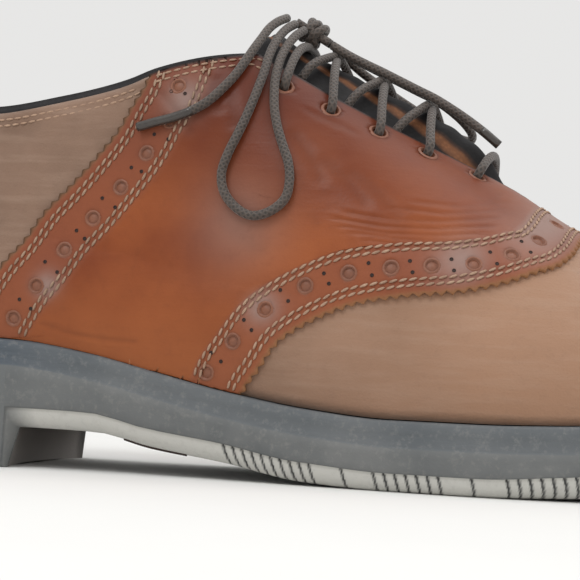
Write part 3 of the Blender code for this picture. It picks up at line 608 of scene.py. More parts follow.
# Cords first. The points are the part's own, in metres.
lacePaths = dict(
    laceLoopNear=dict(node="lace_loop_near", end="object", points=(
        (-0.0185, -0.0072, 0.1317), (-0.0198, -0.0121, 0.1295), (-0.0208, -0.0167, 0.1265), (-0.0215, -0.0209, 0.1230),
        (-0.0219, -0.0247, 0.1191), (-0.0221, -0.0281, 0.1147), (-0.0228, -0.0310, 0.1101), (-0.0239, -0.0334, 0.1052),
        (-0.0253, -0.0354, 0.1002), (-0.0271, -0.0369, 0.0953), (-0.0291, -0.0381, 0.0902), (-0.0304, -0.0389, 0.0849),
        (-0.0293, -0.0398, 0.0797), (-0.0258, -0.0406, 0.0755), (-0.0210, -0.0412, 0.0731), (-0.0158, -0.0413, 0.0743),
        (-0.0117, -0.0407, 0.0780), (-0.0109, -0.0394, 0.0832), (-0.0118, -0.0379, 0.0883), (-0.0139, -0.0365, 0.0932),
        (-0.0159, -0.0349, 0.0981), (-0.0174, -0.0331, 0.1031), (-0.0183, -0.0308, 0.1081), (-0.0188, -0.0280, 0.1128),
        (-0.0188, -0.0247, 0.1172), (-0.0185, -0.0209, 0.1212), (-0.0177, -0.0168, 0.1248), (-0.0168, -0.0122, 0.1277),
        (-0.0158, -0.0072, 0.1299))),
    laceEndNear=dict(node="lace_end_near", end="bare", points=(
        (-0.0210, -0.0071, 0.1335), (-0.0223, -0.0121, 0.1317), (-0.0238, -0.0167, 0.1290), (-0.0250, -0.0207, 0.1254),
        (-0.0262, -0.0246, 0.1218), (-0.0277, -0.0281, 0.1177), (-0.0297, -0.0309, 0.1134), (-0.0327, -0.0329, 0.1093),
        (-0.0365, -0.0341, 0.1054), (-0.0412, -0.0343, 0.1026), (-0.0463, -0.0342, 0.1007), (-0.0517, -0.0339, 0.0993),
        (-0.0569, -0.0335, 0.0978))),
    laceLoopFar=dict(node="lace_loop_far", end="object", points=(
        (-0.0079, 0.0000, 0.1262), (-0.0031, 0.0003, 0.1234), (0.0020, 0.0007, 0.1209), (0.0070, 0.0010, 0.1185),
        (0.0121, 0.0016, 0.1161), (0.0171, 0.0022, 0.1137), (0.0221, 0.0032, 0.1114), (0.0267, 0.0044, 0.1084),
        (0.0305, 0.0067, 0.1051), (0.0323, 0.0111, 0.1022), (0.0307, 0.0161, 0.1010), (0.0261, 0.0183, 0.1026),
        (0.0213, 0.0177, 0.1055), (0.0166, 0.0165, 0.1083), (0.0120, 0.0151, 0.1112), (0.0074, 0.0139, 0.1141),
        (0.0029, 0.0126, 0.1172), (-0.0015, 0.0111, 0.1203), (-0.0053, 0.0086, 0.1235), (-0.0086, 0.0051, 0.1265))),
    laceEndFar=dict(node="lace_end_far", end="bare", points=(
        (-0.0079, -0.0034, 0.1262), (-0.0029, -0.0038, 0.1233), (0.0022, -0.0040, 0.1208), (0.0075, -0.0040, 0.1184),
        (0.0127, -0.0039, 0.1159), (0.0179, -0.0038, 0.1134), (0.0230, -0.0037, 0.1110), (0.0280, -0.0034, 0.1081),
        (0.0328, -0.0030, 0.1050), (0.0375, -0.0027, 0.1016), (0.0419, -0.0023, 0.0980))))


def smoothPath(points, count):
    points = np.array(points, float)
    ends = np.vstack([2 * points[0] - points[1], points, 2 * points[-1] - points[-2]])
    fine = []
    for at in range(len(points) - 1):
        a, b, c, d = ends[at:at + 4]
        for t in np.linspace(0, 1, 12, endpoint=False):
            fine.append(0.5 * (2 * b + (c - a) * t + (2 * a - 5 * b + 4 * c - d) * t ** 2
                               + (3 * b - a - 3 * c + d) * t ** 3))
    fine = np.array(fine + [points[-1]])
    travel = np.concatenate([[0], np.cumsum(np.linalg.norm(np.diff(fine, axis=0), axis=1))])
    marks = np.linspace(0, travel[-1], count)
    return np.stack([np.interp(marks, travel, fine[:, axis]) for axis in range(3)], axis=1), travel[-1]


# A round tube swept along a path, with u along and v around it in metres and turns
def tubeMesh(name, path, radii, sides=14):
    path = np.asarray(path, float)
    count = len(path)
    ahead = np.gradient(path, axis=0)
    ahead /= np.linalg.norm(ahead, axis=1)[:, None]
    lead = np.cross(ahead[0], (0.3, 0.2, 0.93))
    lead /= np.linalg.norm(lead)
    shape = bmesh.new()
    bmesh.ops.create_grid(shape, x_segments=count - 1, y_segments=sides, size=1.0)
    cells = sorted(shape.verts, key=lambda vert: (round(vert.co.x, 6), vert.co.y))
    uvLayer = shape.loops.layers.uv.new("UVMap")
    travel = np.concatenate([[0], np.cumsum(np.linalg.norm(np.diff(path, axis=0), axis=1))])
    spots = {}
    for at in range(count):
        lead = lead - ahead[at] * lead.dot(ahead[at])
        lead /= np.linalg.norm(lead)
        over = np.cross(ahead[at], lead)
        for turn in range(sides + 1):
            angle = 2 * math.pi * turn / sides
            vert = cells[at * (sides + 1) + turn]
            vert.co = path[at] + (lead * math.cos(angle) + over * math.sin(angle)) * radii[at]
            spots[vert] = (travel[at], turn / sides)
    for face in shape.faces:
        for loop in face.loops:
            loop[uvLayer].uv = spots[loop.vert]
    bmesh.ops.remove_doubles(shape, verts=shape.verts, dist=0.000001)
    rims = [edge for edge in shape.edges if edge.is_boundary]
    bmesh.ops.holes_fill(shape, edges=rims, sides=sides + 2)
    bmesh.ops.recalc_face_normals(shape, faces=shape.faces)
    mesh = bpy.data.meshes.new(name)
    shape.to_mesh(mesh)
    shape.free()
    return mesh


laceRadius = shoe["laceWidth"] / 2


def makeBowCords():
    for name, row in lacePaths.items():
        count = max(24, len(row["points"]) * 4)
        path, length = smoothPath(row["points"], count)
        radii = np.full(count, laceRadius)
        cord = addPiece(name, tubeMesh(name, path, radii), waxedLace, [row["node"]])
        if row["end"] == "bare":
            tipCount = max(4, int(count * (0.019 if name == "laceEndNear" else 0.008) / length))
            sheath = tubeMesh(name + "Tip", path[-tipCount:], np.full(tipCount, laceRadius * 1.02))
            addPiece(name + "Tip", sheath, lacetip)


makeBowCords()
print("bow cords are laid")

# How far each layer's edge lies below the top of the last, and how deep the lining lies
edges = dict(saddle=0.0022, nubuck=0.0015, lining=-0.0014, liningDepth=0.0011)

nearTop, farTop = topLimit(edges["saddle"])
print("last is ready")


# Borders of the saddle as places on the shell. far chooses the inner side.
def borderPath(table, far):
    grid, shares, reach = (farGrid, farShares, farReach) if far else (nearGrid, nearShares, nearReach)
    at = np.linspace(0, len(table) - 1, 1400)
    rows = np.arange(len(table), dtype=float)
    along = smoothCurve(rows, table[:, 0], at) * shoe["length"]
    height = smoothCurve(rows, table[:, 1], at) * shoe["collar"]
    share = np.zeros(len(along))
    for k, (x, z) in enumerate(zip(along, height)):
        i = int(round((x - stations[0]) / (stations[1] - stations[0])))
        low = grid[i, 0, 2]
        share[k] = (z - low) / reach[i] if z < low else np.interp(z, grid[i, :, 2], shares[i])
    full = np.argmax(share >= 0.9995) if (share >= 0.9995).any() else len(share) - 1
    along, share = along[:full + 1], share[:full + 1]
    head = np.linspace(-1, 0, 60, endpoint=False)
    tail = np.linspace(0, 1, 61)[1:]
    reachNow = np.interp(along[0], stations, reach)
    startSlope = ((along[40] - along[0]), (share[40] - share[0]))
    scale = 0.014 / max(math.hypot(startSlope[0], startSlope[1] * reachNow), 1e-9)
    beforeX = along[0] + head * startSlope[0] * scale
    beforeS = share[0] + head * startSlope[1] * scale
    endReach = np.interp(along[-1], stations, reach)
    if share[-1] >= 0.999:
        afterX = np.full(len(tail), along[-1])
        afterS = share[-1] + tail * 0.034 / endReach
    else:
        slope = ((along[-1] - along[-40]), (share[-1] - share[-40]))
        scale = 0.012 / max(math.hypot(slope[0], slope[1] * endReach), 1e-9)
        afterX = along[-1] + tail * slope[0] * scale
        afterS = share[-1] + tail * slope[1] * scale
    along = np.concatenate([beforeX, along, afterX])
    share = np.concatenate([beforeS, share, afterS])
    return along, (2 - share if far else share)


def evenRows(along, share, count, out):
    points = shell(along, share, out)
    travel = np.concatenate([[0], np.cumsum(np.linalg.norm(np.diff(points, axis=0), axis=1))])
    marks = np.linspace(0, travel[-1], count)
    return np.interp(marks, travel, along), np.interp(marks, travel, share), marks


# Columns at set distances inside a border
def offsetColumns(along, share, widths, sign, out):
    point = shell(along, share, out)
    smooth = np.gradient(point, axis=0)
    for _ in range(3):
        smooth[1:-1] = (smooth[:-2] + 2 * smooth[1:-1] + smooth[2:]) / 4
    aside = np.cross(shellNormal(along, share, out), smooth) * sign
    aside /= np.linalg.norm(aside, axis=1)[:, None]
    a, s = along.copy(), share.copy()
    columns = []
    for width in widths:
        width = np.broadcast_to(width, along.shape)
        a, s = slideTo(a, s, point + aside * width[:, None], out, 3)
        columns.append((a.copy(), s.copy()))
    return columns


def clampShare(along, share, far, slack=0.0):
    if far:
        limit = np.interp(along, stations, farTop) - slack
        return 2 - np.clip(2 - share, slack, limit)
    limit = np.interp(along, stations, nearTop) - slack
    return np.clip(share, slack, limit)


def visible(along, share, far, margin):
    own = 2 - share if far else share
    limit = np.interp(along, stations, farTop if far else nearTop)
    reach = np.interp(along, stations, nearReach)
    return (own * reach > margin) & ((limit - own) * reach > margin)


saddleOut = shoe["gap"] + shoe["saddleWall"]
saddle = dict(rows=400, middle=68, tooth=0.0032, toothDepth=0.00115, rearRows=(0.0025, 0.0042, 0.0152, 0.0170),
              frontRows=(0.0021, 0.0038, 0.0126, 0.0143), rearBand=0.0182, frontBand=0.0156, bandStep=0.0008,
              holeRadius=0.00165, holeDepth=0.0006, pinRadius=0.0005, pinDepth=0.0001, eyeRadius=0.0020, eyeDepth=0.0012)
# Stitches in metres: length, width and pitch on the bands, then along the topline, and the topline rows' setbacks
stitch = dict(length=0.0026, width=0.00080, pitch=0.0027, smallLength=0.0023, smallWidth=0.00070, rearPitch=0.0025,
              overPitch=0.0027, setbacks=(0.0036, 0.0054))
rearHoles = ((106.1, 108.9), (104.7, 98.9), (98.5, 89.6), (91.5, 79.9), (83.8, 71.1), (76.0, 62.0), (68.6, 51.6),
             (62.1, 42.2))
rearPins = ((100.4, 95.1), (104.8, 93.7), (94.3, 85.6), (97.5, 84.4), (86.2, 76.8), (90.3, 74.3), (79.2, 67.5),
            (81.8, 65.3), (70.7, 58.4), (74.6, 55.6), (63.8, 47.6), (67.3, 45.1), (104.2, 107.4), (108.4, 106.8))
frontHoles = ((120.7, 29.3), (128.3, 38.1), (137.2, 47.0), (148.1, 53.6), (160.1, 57.3), (171.6, 59.0), (182.6, 59.9),
              (193.6, 60.8), (203.2, 63.7), (209.4, 68.2), (212.6, 73.4))
frontPins = ((122.1, 34.7), (125.1, 32.5), (131.3, 44.0), (133.7, 41.3), (141.1, 52.3), (143.6, 49.4), (153.2, 57.1),
             (154.8, 54.4), (165.4, 60.2), (166.6, 56.9), (176.6, 61.0), (177.6, 58.0), (187.6, 61.8), (188.6, 58.8),
             (197.4, 64.2), (199.6, 61.0), (205.0, 67.6), (207.8, 64.6))
# Creases of the worn leather: points seen from the side in millimetres, width, depth
creases = (
    (((71.0, 41.2), (80.0, 38.6), (90.0, 37.4), (99.0, 37.0)), 0.7, 0.26),
    (((101.0, 108.0), (106.0, 103.0), (111.0, 97.0)), 1.2, 0.30),
    (((113.0, 116.0), (117.0, 109.0), (119.0, 103.0)), 1.2, 0.35),
    (((118.0, 112.0), (122.0, 106.0), (124.0, 99.0)), 1.4, 0.35),
    (((141.0, 96.5), (146.0, 91.0), (150.0, 84.0)), 1.4, 0.30),
    (((150.0, 89.0), (156.0, 85.0), (163.0, 78.0)), 1.5, 0.28),
    (((158.0, 86.0), (166.0, 80.5), (172.0, 75.0)), 1.4, 0.24),
    (((158.0, 74.8), (170.0, 73.0), (184.0, 73.2), (198.0, 75.4)), 0.7, 0.20),
    (((155.0, 73.0), (168.0, 71.2), (182.0, 71.0), (197.0, 72.8)), 0.6, 0.24),
    (((157.0, 71.0), (170.0, 69.4), (184.0, 69.2), (195.0, 70.6)), 0.6, 0.18),
    (((160.0, 69.2), (172.0, 67.9), (185.0, 67.5), (193.0, 68.4)), 0.6, 0.16),
    (((164.0, 67.3), (175.0, 66.3), (187.0, 66.0)), 0.5, 0.12),
    (((170.0, 76.5), (184.0, 75.4), (198.0, 77.6)), 0.6, 0.17),
    (((176.0, 78.4), (188.0, 77.8), (199.0, 80.2)), 0.6, 0.13),
    (((143.0, 104.4), (147.5, 101.2)), 0.7, 0.24),
    (((146.5, 103.4), (152.0, 99.4)), 0.7, 0.28),
    (((151.0, 101.4), (157.0, 97.8)), 0.7, 0.24),
    (((195.1, 79.5), (197.2, 83.2)), 0.6, 0.20),
    (((124.0, 74.0), (128.0, 68.0), (134.0, 64.0)), 2.6, 0.30),
)
# Scuffed places and patches of painted sheen: centre seen from the side in millimetres, radius
scuffAndSheenSpots = (((136.0, 48.0), 5.0), ((128.0, 71.0), 13.0), ((109.0, 106.0), 6.0), ((209.0, 74.0), 10.0),
        ((190.0, 63.0), 7.0), ((72.0, 52.0), 4.0))


def sideDistance(points, line):
    x = (points[..., 0] + shoe["length"] / 2) * 1000
    z = points[..., 2] * 1000
    best = np.full(x.shape, 1e9)
    for (x0, z0), (x1, z1) in zip(line, line[1:]):
        dx, dz = x1 - x0, z1 - z0
        t = np.clip(((x - x0) * dx + (z - z0) * dz) / (dx * dx + dz * dz), 0, 1)
        best = np.minimum(best, np.hypot(x - x0 - t * dx, z - z0 - t * dz))
    return best


def spotOnSide(x, z, far):
    grid, shares = (farGrid, farShares) if far else (nearGrid, nearShares)
    along = x / 1000
    i = int(round((along - stations[0]) / (stations[1] - stations[0])))
    share = float(np.interp(z / 1000, grid[i, :, 2], shares[i]))
    return along, (2 - share if far else share)


# The turn of the last at a distance across the throat from its middle
def turnAcross(along, across, out):
    middle = centreY(along) + section("ridge", along / shoe["length"]) * shoe["ballWidth"]
    low = np.zeros(np.broadcast(along, across).shape)
    high = np.full(low.shape, math.pi)
    for _ in range(36):
        turn = (low + high) / 2
        under = lastPoint(along, turn, out)[..., 1] < middle + across
        low, high = np.where(under, turn, low), np.where(under, high, turn)
    return (low + high) / 2


def crossSpot(along, across, out, lift=0.0):
    along, across, lift = np.broadcast_arrays(*(np.asarray(value, float) for value in (along, across, lift)))
    turn = turnAcross(along, across, out)
    point = lastPoint(along, turn, out)
    ahead = lastPoint(along + 0.0015, turn, out) - lastPoint(along - 0.0015, turn, out)
    around = lastPoint(along, turn + 0.02, out) - lastPoint(along, turn - 0.02, out)
    normal = np.cross(ahead, around)
    normal /= np.linalg.norm(normal, axis=-1, keepdims=True)
    return point + normal * lift[..., None], normal


def eyeletAlong(row):
    return shoe["eyeletFirst"] - row * shoe["eyeletPitch"]


def eyeletReach(along):
    return float(throatHalfAt(along)) + shoe["eyeletInset"]


eyeletSpots = []
for row in range(5):
    for side in (-1, 1):
        spot, normal = crossSpot(eyeletAlong(row), side * eyeletReach(eyeletAlong(row)), saddleOut)
        eyeletSpots.append((spot, normal))


def saddleHalf(far):
    sign = -1.0 if far else 1.0
    rows = saddle["rows"]
    sides = []
    for table, direction, bandEnd in ((rearBorder, -1.0, saddle["rearBand"]), (frontBorder, 1.0, saddle["frontBand"])):
        widths = np.concatenate([[0.0, 0.0005], np.arange(0.0012, bandEnd, saddle["bandStep"])])
        along, share = borderPath(table, far)
        along, share, travel = evenRows(along, share, rows, saddleOut)
        phase = (travel - travel[-1]) / saddle["tooth"]
        tooth = np.abs((phase % 1.0) - 0.5) * 2
        first = -saddle["toothDepth"] * tooth
        columns = offsetColumns(along, share, [first, *widths[1:]], direction * sign, saddleOut)
        sides.append((columns, np.concatenate([[0.0], widths[1:]])))
    (rear, rearWidths), (front, frontWidths) = sides
    cells, band, edge = [], [], []
    rows1 = np.ones(rows)
    for (a, s), width in zip(rear, rearWidths):
        cells.append((a, clampShare(a, s, far)))
        band.append(rows1 * (1.0 if width < 0.0176 else 0.4))
        edge.append(rows1 * width)
    inner, outer = cells[-1], (front[-1][0], clampShare(front[-1][0], front[-1][1], far))
    top = farTop if far else nearTop
    own = lambda pair: (2 - pair[1] if far else pair[1]) / np.interp(pair[0], stations, top)
    for t in np.linspace(0, 1, saddle["middle"] + 2)[1:-1]:
        a = inner[0] * (1 - t) + outer[0] * t
        g = (own(inner) * (1 - t) + own(outer) * t) * np.interp(a, stations, top)
        cells.append((a, 2 - g if far else g))
        band.append(rows1 * 0.0)
        edge.append(rows1 * 0.02)
    for (a, s), width in list(zip(front, frontWidths))[::-1]:
        cells.append((a, clampShare(a, s, far)))
        band.append(rows1 * (1.0 if width < 0.0150 else 0.4))
        edge.append(rows1 * width)
    along = np.stack([pair[0] for pair in cells], axis=1)
    share = np.stack([pair[1] for pair in cells], axis=1)
    band, edge = np.stack(band, axis=1), np.stack(edge, axis=1)
    points = shell(along, share, saddleOut)
    normals = shellNormal(along, share, saddleOut)
    relief = -0.0004 * np.clip(1 - edge / 0.0008, 0, 1)
    isRear = np.arange(along.shape[1])[None, :] < len(rear) + saddle["middle"] / 2
    for k in range(2):
        for isSide, stitchRows in ((isRear, saddle["rearRows"]), (~isRear, saddle["frontRows"])):
            middle = (stitchRows[2 * k] + stitchRows[2 * k + 1]) / 2
            relief -= 0.00022 * np.exp(-((edge - middle) / 0.0011) ** 2) * isSide
    # Painted shade: a mask that darkens the leather along the creases and in rings round the holes and eyelets
    creaseShade = np.zeros(along.shape)
    shift = 2.5 if far else 0.0
    for line, width, depth in creases:
        line = [(x + shift, z + shift * 0.4) for x, z in line]
        distance = sideDistance(points, line)
        valley = np.exp(-(distance / width) ** 2)
        ridge = np.exp(-((distance - 2.2 * width) / (1.1 * width)) ** 2)
        relief += (-valley + 0.35 * ridge) * depth * 0.00062
        creaseShade = np.maximum(creaseShade, valley * min(1.0, depth * 0.9))
    x, z = points[..., 0] * 1000, points[..., 2] * 1000
    relief += 0.00014 * np.sin(x * 0.16 + 0.9) * np.sin(z * 0.21 + x * 0.05) * (1 - band)
    # Pale scuffs and patches of painted sheen, stronger on the bands
    scuffAndSheen = np.zeros(along.shape)
    for (cx, cz), radius in scuffAndSheenSpots:
        distance = np.hypot(x + 152.5 - cx, z - cz)
        scuffAndSheen = np.maximum(scuffAndSheen, np.exp(-(distance / radius) ** 2))
    holes = [spotOnSide(hx, hz, far) for hx, hz in rearHoles + frontHoles]
    centres = [shell(np.array(a), np.array(s), saddleOut) for a, s in holes]
    for centre in centres:
        distance = np.linalg.norm(points - centre, axis=-1)
        relief += np.where(distance < 0.004, -0.0011 * np.clip((0.0021 - distance) / 0.0006, 0, 1), 0)
        creaseShade = np.maximum(creaseShade, 0.35 * np.exp(-((distance - 0.0021) / 0.0008) ** 2))
    for spot, normal in eyeletSpots:
        distance = np.linalg.norm(points - spot, axis=-1)
        relief += -0.0016 * np.clip((0.0024 - distance) / 0.0007, 0, 1)
        creaseShade = np.maximum(creaseShade, np.exp(-((distance - 0.0022) / 0.0012) ** 2))
    points = points + normals * relief[..., None]
    toTop = np.interp(along, stations, top) - (2 - share if far else share)
    toTop *= np.interp(along, stations, nearReach)
    facing = np.clip(1.4 - toTop / 0.0008, 0, 1)
    masks = dict(band=band, creaseShade=np.clip(creaseShade, 0, 1), scuffAndSheen=scuffAndSheen * (0.5 + 0.5 * band), facing=facing,
                 rawEdge=np.clip(1 - edge / 0.0006, 0, 1), rearEdge=np.clip(1 - edge / 0.0006, 0, 1) * isRear)
    return gridMesh("saddleHalf", points, masks)


def makeSaddle():
    mesh = joinMeshes("saddleLeather", [saddleHalf(False), saddleHalf(True)], 0.00004, outFromMiddle)
    shape = bmesh.new()
    shape.from_mesh(mesh)
    bpy.data.meshes.remove(mesh)
    raw = shape.verts.layers.float["rawEdge"]
    rims = [edge for edge in shape.edges if edge.is_boundary]
    shape.normal_update()
    inward = {vert: vert.normal.copy() for edge in rims for vert in edge.verts}
    grown = bmesh.ops.extrude_edge_only(shape, edges=rims)["geom"]
    fresh = [item for item in grown if isinstance(item, bmesh.types.BMVert)]
    for vert in fresh:
        source = next(edge.other_vert(vert) for edge in vert.link_edges if edge.other_vert(vert) in inward)
        vert.co = source.co - inward[source] * 0.0015
        vert[raw] = 1.0
    mesh = bpy.data.meshes.new("saddleLeather")
    shape.to_mesh(mesh)
    shape.free()
    return addPiece("saddleLeather", mesh, cognac, ["saddle"])


makeSaddle()
print("saddle is cut")


# The nubuck upper and its lining: halves that meet at the crest and at the back of the heel
def shellHalf(far, setback, out, rows, columns, relief):
    top = (topShares(farGrid, farShares, setback) if far else topShares(nearGrid, nearShares, setback))
    ends = 0.004 + 0.297 * (0.5 - 0.5 * np.cos(np.linspace(0, math.pi, rows)))
    beside = np.array([-0.004, -0.003, -0.002, -0.0013, -0.0008, -0.0004, -0.0001, 0.0003])
    extra = shoe["throatEnd"] + setback + beside
    along = np.sort(np.concatenate([ends, extra]))
    limit = np.interp(along, stations, top)
    share = np.linspace(0, 1, columns)[None, :] ** 0.9 * limit[:, None]
    wide = np.repeat(along[:, None], columns, axis=1)
    share = 2 - share if far else share
    points = shell(wide, share, out)
    if relief:
        x, z = points[..., 0] * 1000, points[..., 2] * 1000
        lift = 0.00030 * np.sin(x * 0.11 + 0.4) * np.sin(z * 0.13 + x * 0.03)
        for line, width, depth in vampCreases:
            distance = sideDistance(points, line)
            trough = -np.exp(-(distance / width) ** 2)
            ridge = 0.4 * np.exp(-((distance - 2 * width) / width) ** 2)
            lift += (trough + ridge) * depth * 0.001
        own = 2 - share if far else share
        fade = np.clip(own / 0.06, 0, 1) * np.clip((wide - 0.012) / 0.02, 0, 1)
        fade = fade * np.clip((0.295 - wide) / 0.02, 0, 1)
        points = points + shellNormal(wide, share, out) * (lift * fade)[..., None]
    return gridMesh("half", points)


# Flex creases of the vamp in front of the saddle
vampCreases = (
    (((222.0, 62.0), (224.0, 55.0), (223.0, 47.0)), 2.2, 0.45),
    (((230.0, 58.0), (232.0, 51.0), (230.0, 43.0)), 2.4, 0.40),
    (((60.0, 96.0), (50.0, 90.0), (38.0, 88.0)), 3.0, 0.35),
    (((70.0, 74.0), (55.0, 70.0), (40.0, 71.0)), 3.5, 0.30),
)


def makeUpper():
    outer = joinMeshes("nubuckUpper", [shellHalf(False, edges["nubuck"], 0.0, 250, 46, True),
                                       shellHalf(True, edges["nubuck"], 0.0, 250, 46, True)], 0.00006, outFromMiddle)
    leather = addPiece("nubuckUpper", outer, nubuck, ["upper"])
    wall = leather.modifiers.new("thickness", "SOLIDIFY")
    wall.thickness = 0.0010
    wall.offset = -1
    inner = joinMeshes("lining", [shellHalf(False, edges["lining"], -edges["liningDepth"], 220, 36, False),
                                  shellHalf(True, edges["lining"], -edges["liningDepth"], 220, 36, False)], 0.00006, outFromMiddle)
    lining = addPiece("collarLining", inner, blackLining)
    wall = lining.modifiers.new("thickness", "SOLIDIFY")
    wall.thickness = 0.0009
    wall.offset = -1


makeUpper()
print("upper is lasted")


# Punched holes: a spun cup with a soft rim, set into each dent
# columns: share of the radius, rise of the rim in metres, share of the depth
cupProfile = ((1.50, -0.00016, 0.0), (1.24, 0.00012, 0.0), (1.04, 0.00004, 0.0), (0.98, 0.0, 1.0),
              (0.84, 0.0, 0.9), (0.45, 0.0, 0.55), (0.0, 0.0, 0.45))


def cupTemplate(radius, depth, steps):
    shape = bmesh.new()
    profile = [(radius * reach, rise - depth * sunk) for reach, rise, sunk in cupProfile]
    verts = [shape.verts.new((x, 0.0, z)) for x, z in profile]
    edges = [shape.edges.new(pair) for pair in zip(verts, verts[1:])]
    bmesh.ops.spin(shape, geom=verts + edges, cent=(0, 0, 0), axis=(0, 0, 1), dvec=(0, 0, 0), angle=2 * math.pi,
                   steps=steps, use_merge=True, use_duplicate=False)
    bmesh.ops.remove_doubles(shape, verts=shape.verts, dist=0.000004)
    bmesh.ops.recalc_face_normals(shape, faces=shape.faces)
    if sum(face.normal.z for face in shape.faces) < 0:
        bmesh.ops.reverse_faces(shape, faces=shape.faces)
    mesh = bpy.data.meshes.new("cup")
    shape.to_mesh(mesh)
    shape.free()
    return mesh


def stamp(template, spot, normal, ahead=None):
    up = Vector(normal).normalized()
    side = Vector(ahead) if ahead is not None else Vector((1, 0, 0.2))
    side = (side - up * side.dot(up)).normalized()
    basis = Matrix((side, up.cross(side), up)).transposed().to_4x4()
    mesh = template.copy()
    mesh.transform(Matrix.Translation(Vector(spot)) @ basis)
    return mesh


def makeHoles():
    big = cupTemplate(saddle["holeRadius"] * 1.02, saddle["holeDepth"], 20)
    small = cupTemplate(saddle["pinRadius"] * 0.8, saddle["pinDepth"], 8)
    eye = cupTemplate(saddle["eyeRadius"], saddle["eyeDepth"], 20)
    copies, pins = [], []
    for far in (False, True):
        for spots, template, lift, made in ((rearHoles + frontHoles, big, 0.00002, copies),
                                            (rearPins + frontPins, small, 0.00010, pins)):
            for x, z in spots:
                along, share = (np.array(value) for value in spotOnSide(x, z, far))
                normal = shellNormal(along, share, saddleOut)
                made.append(stamp(template, shell(along, share, saddleOut) + normal * lift, normal))
    for spot, normal in eyeletSpots:
        copies.append(stamp(eye, spot + normal * 0.00003, normal))
    addPiece("punchedHoles", joinMeshes("punchedHoles", copies, 0.0), pitLeather)
    # the pin holes' near-black cups are painted shade
    addPiece("pinHoles", joinMeshes("pinHoles", pins, 0.0), pinDark)


# Stitches: small rounded bars along a row, sunk a little into the leather
def stitchTemplate(length, width):
    shape = bmesh.new()
    bmesh.ops.create_uvsphere(shape, u_segments=8, v_segments=5, radius=1.0)
    bmesh.ops.scale(shape, vec=(length / 2, width / 2, width * 0.42), verts=shape.verts)
    mesh = bpy.data.meshes.new("stitch")
    shape.to_mesh(mesh)
    shape.free()
    return mesh


def stitchRow(along, share, out, pitch, template, far, margin=0.0012, lift=0.00010, tilt=0.22):
    points = shell(along, share, out)
    travel = np.concatenate([[0], np.cumsum(np.linalg.norm(np.diff(points, axis=0), axis=1))])
    marks = np.arange(pitch / 2, travel[-1], pitch)
    a, s = np.interp(marks, travel, along), np.interp(marks, travel, share)
    keep = visible(a, s, far, margin)
    a, s = a[keep], s[keep]
    if len(a) < 2:
        return []
    spots, normals = shell(a, s, out), shellNormal(a, s, out)
    ahead = np.gradient(spots, axis=0)
    rows = []
    for spot, normal, way in zip(spots, normals, ahead):
        way = way / max(np.linalg.norm(way), 1e-9)
        leaning = way + np.cross(normal, way) * tilt
        rows.append(stamp(template, spot + normal * lift, normal, leaning))
    return rows


def makeStitches():
    bar = stitchTemplate(stitch["length"], stitch["width"])
    small = stitchTemplate(stitch["smallLength"], stitch["smallWidth"])
    rearCopies, frontCopies, toplineCopies = [], [], []
    for far in (False, True):
        sign = -1.0 if far else 1.0
        for table, direction, widths, copies in ((rearBorder, -1.0, saddle["rearRows"], rearCopies),
                                                 (frontBorder, 1.0, saddle["frontRows"], frontCopies)):
            along, share = borderPath(table, far)
            along, share, travel = evenRows(along, share, 300, saddleOut)
            for a, s in offsetColumns(along, share, widths, direction * sign, saddleOut):
                copies += stitchRow(a, s, saddleOut, stitch["pitch"], bar, far)
        for setback in stitch["setbacks"]:
            top = topShares(farGrid, farShares, setback) if far else topShares(nearGrid, nearShares, setback)
            along = np.linspace(0.006, 0.198, 500)
            share = np.interp(along, stations, top)
            share = 2 - share if far else share
            rear = along < 0.094
            toplineCopies += stitchRow(along[rear], share[rear], 0.0, stitch["rearPitch"], small, far, 0.0, 0.0001, 0.0)
            over = (along > 0.0985) & (along < 0.1310)
            toplineCopies += stitchRow(along[over], share[over], saddleOut, stitch["overPitch"], small, far, 0.0, 0.0001,
                                       0.0)
    addPiece("rearStitches", joinMeshes("rearStitches", rearCopies, 0.0), threadOlive)
    addPiece("frontStitches", joinMeshes("frontStitches", frontCopies, 0.0), threadPale)
    addPiece("toplineStitches", joinMeshes("toplineStitches", toplineCopies, 0.0), threadPale)


makeHoles()
makeStitches()
print("holes and stitches are in")

# Tongue: the last's inner face swelled into a rounded ridge through the throat
tongue = dict(top=0.125, end=0.214, half=0.026, wall=0.0026, rise=0.009, roll=0.0007, rollReach=0.0024, furrow=0.0005,
              furrowAt=0.0042, furrowReach=0.0010, flankFrom=0.0036, flankTo=0.0066)
tongueSwell = np.array(((0.00, 0.00), (0.10, 0.38), (0.22, 0.86), (0.38, 1.00), (0.70, 0.78), (0.95, 0.60),
                        (1.20, 0.45)))


def tongueRise(along, across):
    share = (shoe["throatEnd"] - along) / (shoe["throatEnd"] - shoe["throatTop"])
    free = smoothCurve(throatPlan[:, 0], throatPlan[:, 1], np.minimum(share, 1.2)) * shoe["throatHalf"] - 0.0012
    swell = smoothCurve(tongueSwell[:, 0], tongueSwell[:, 1], share)
    inside = (np.abs(across) < free) & (share > 0.02)
    rounding = np.cos(np.pi * across / (2 * np.maximum(free, 1e-4))) ** 2
    return np.where(inside, tongue["rise"] * swell * rounding, 0.0)


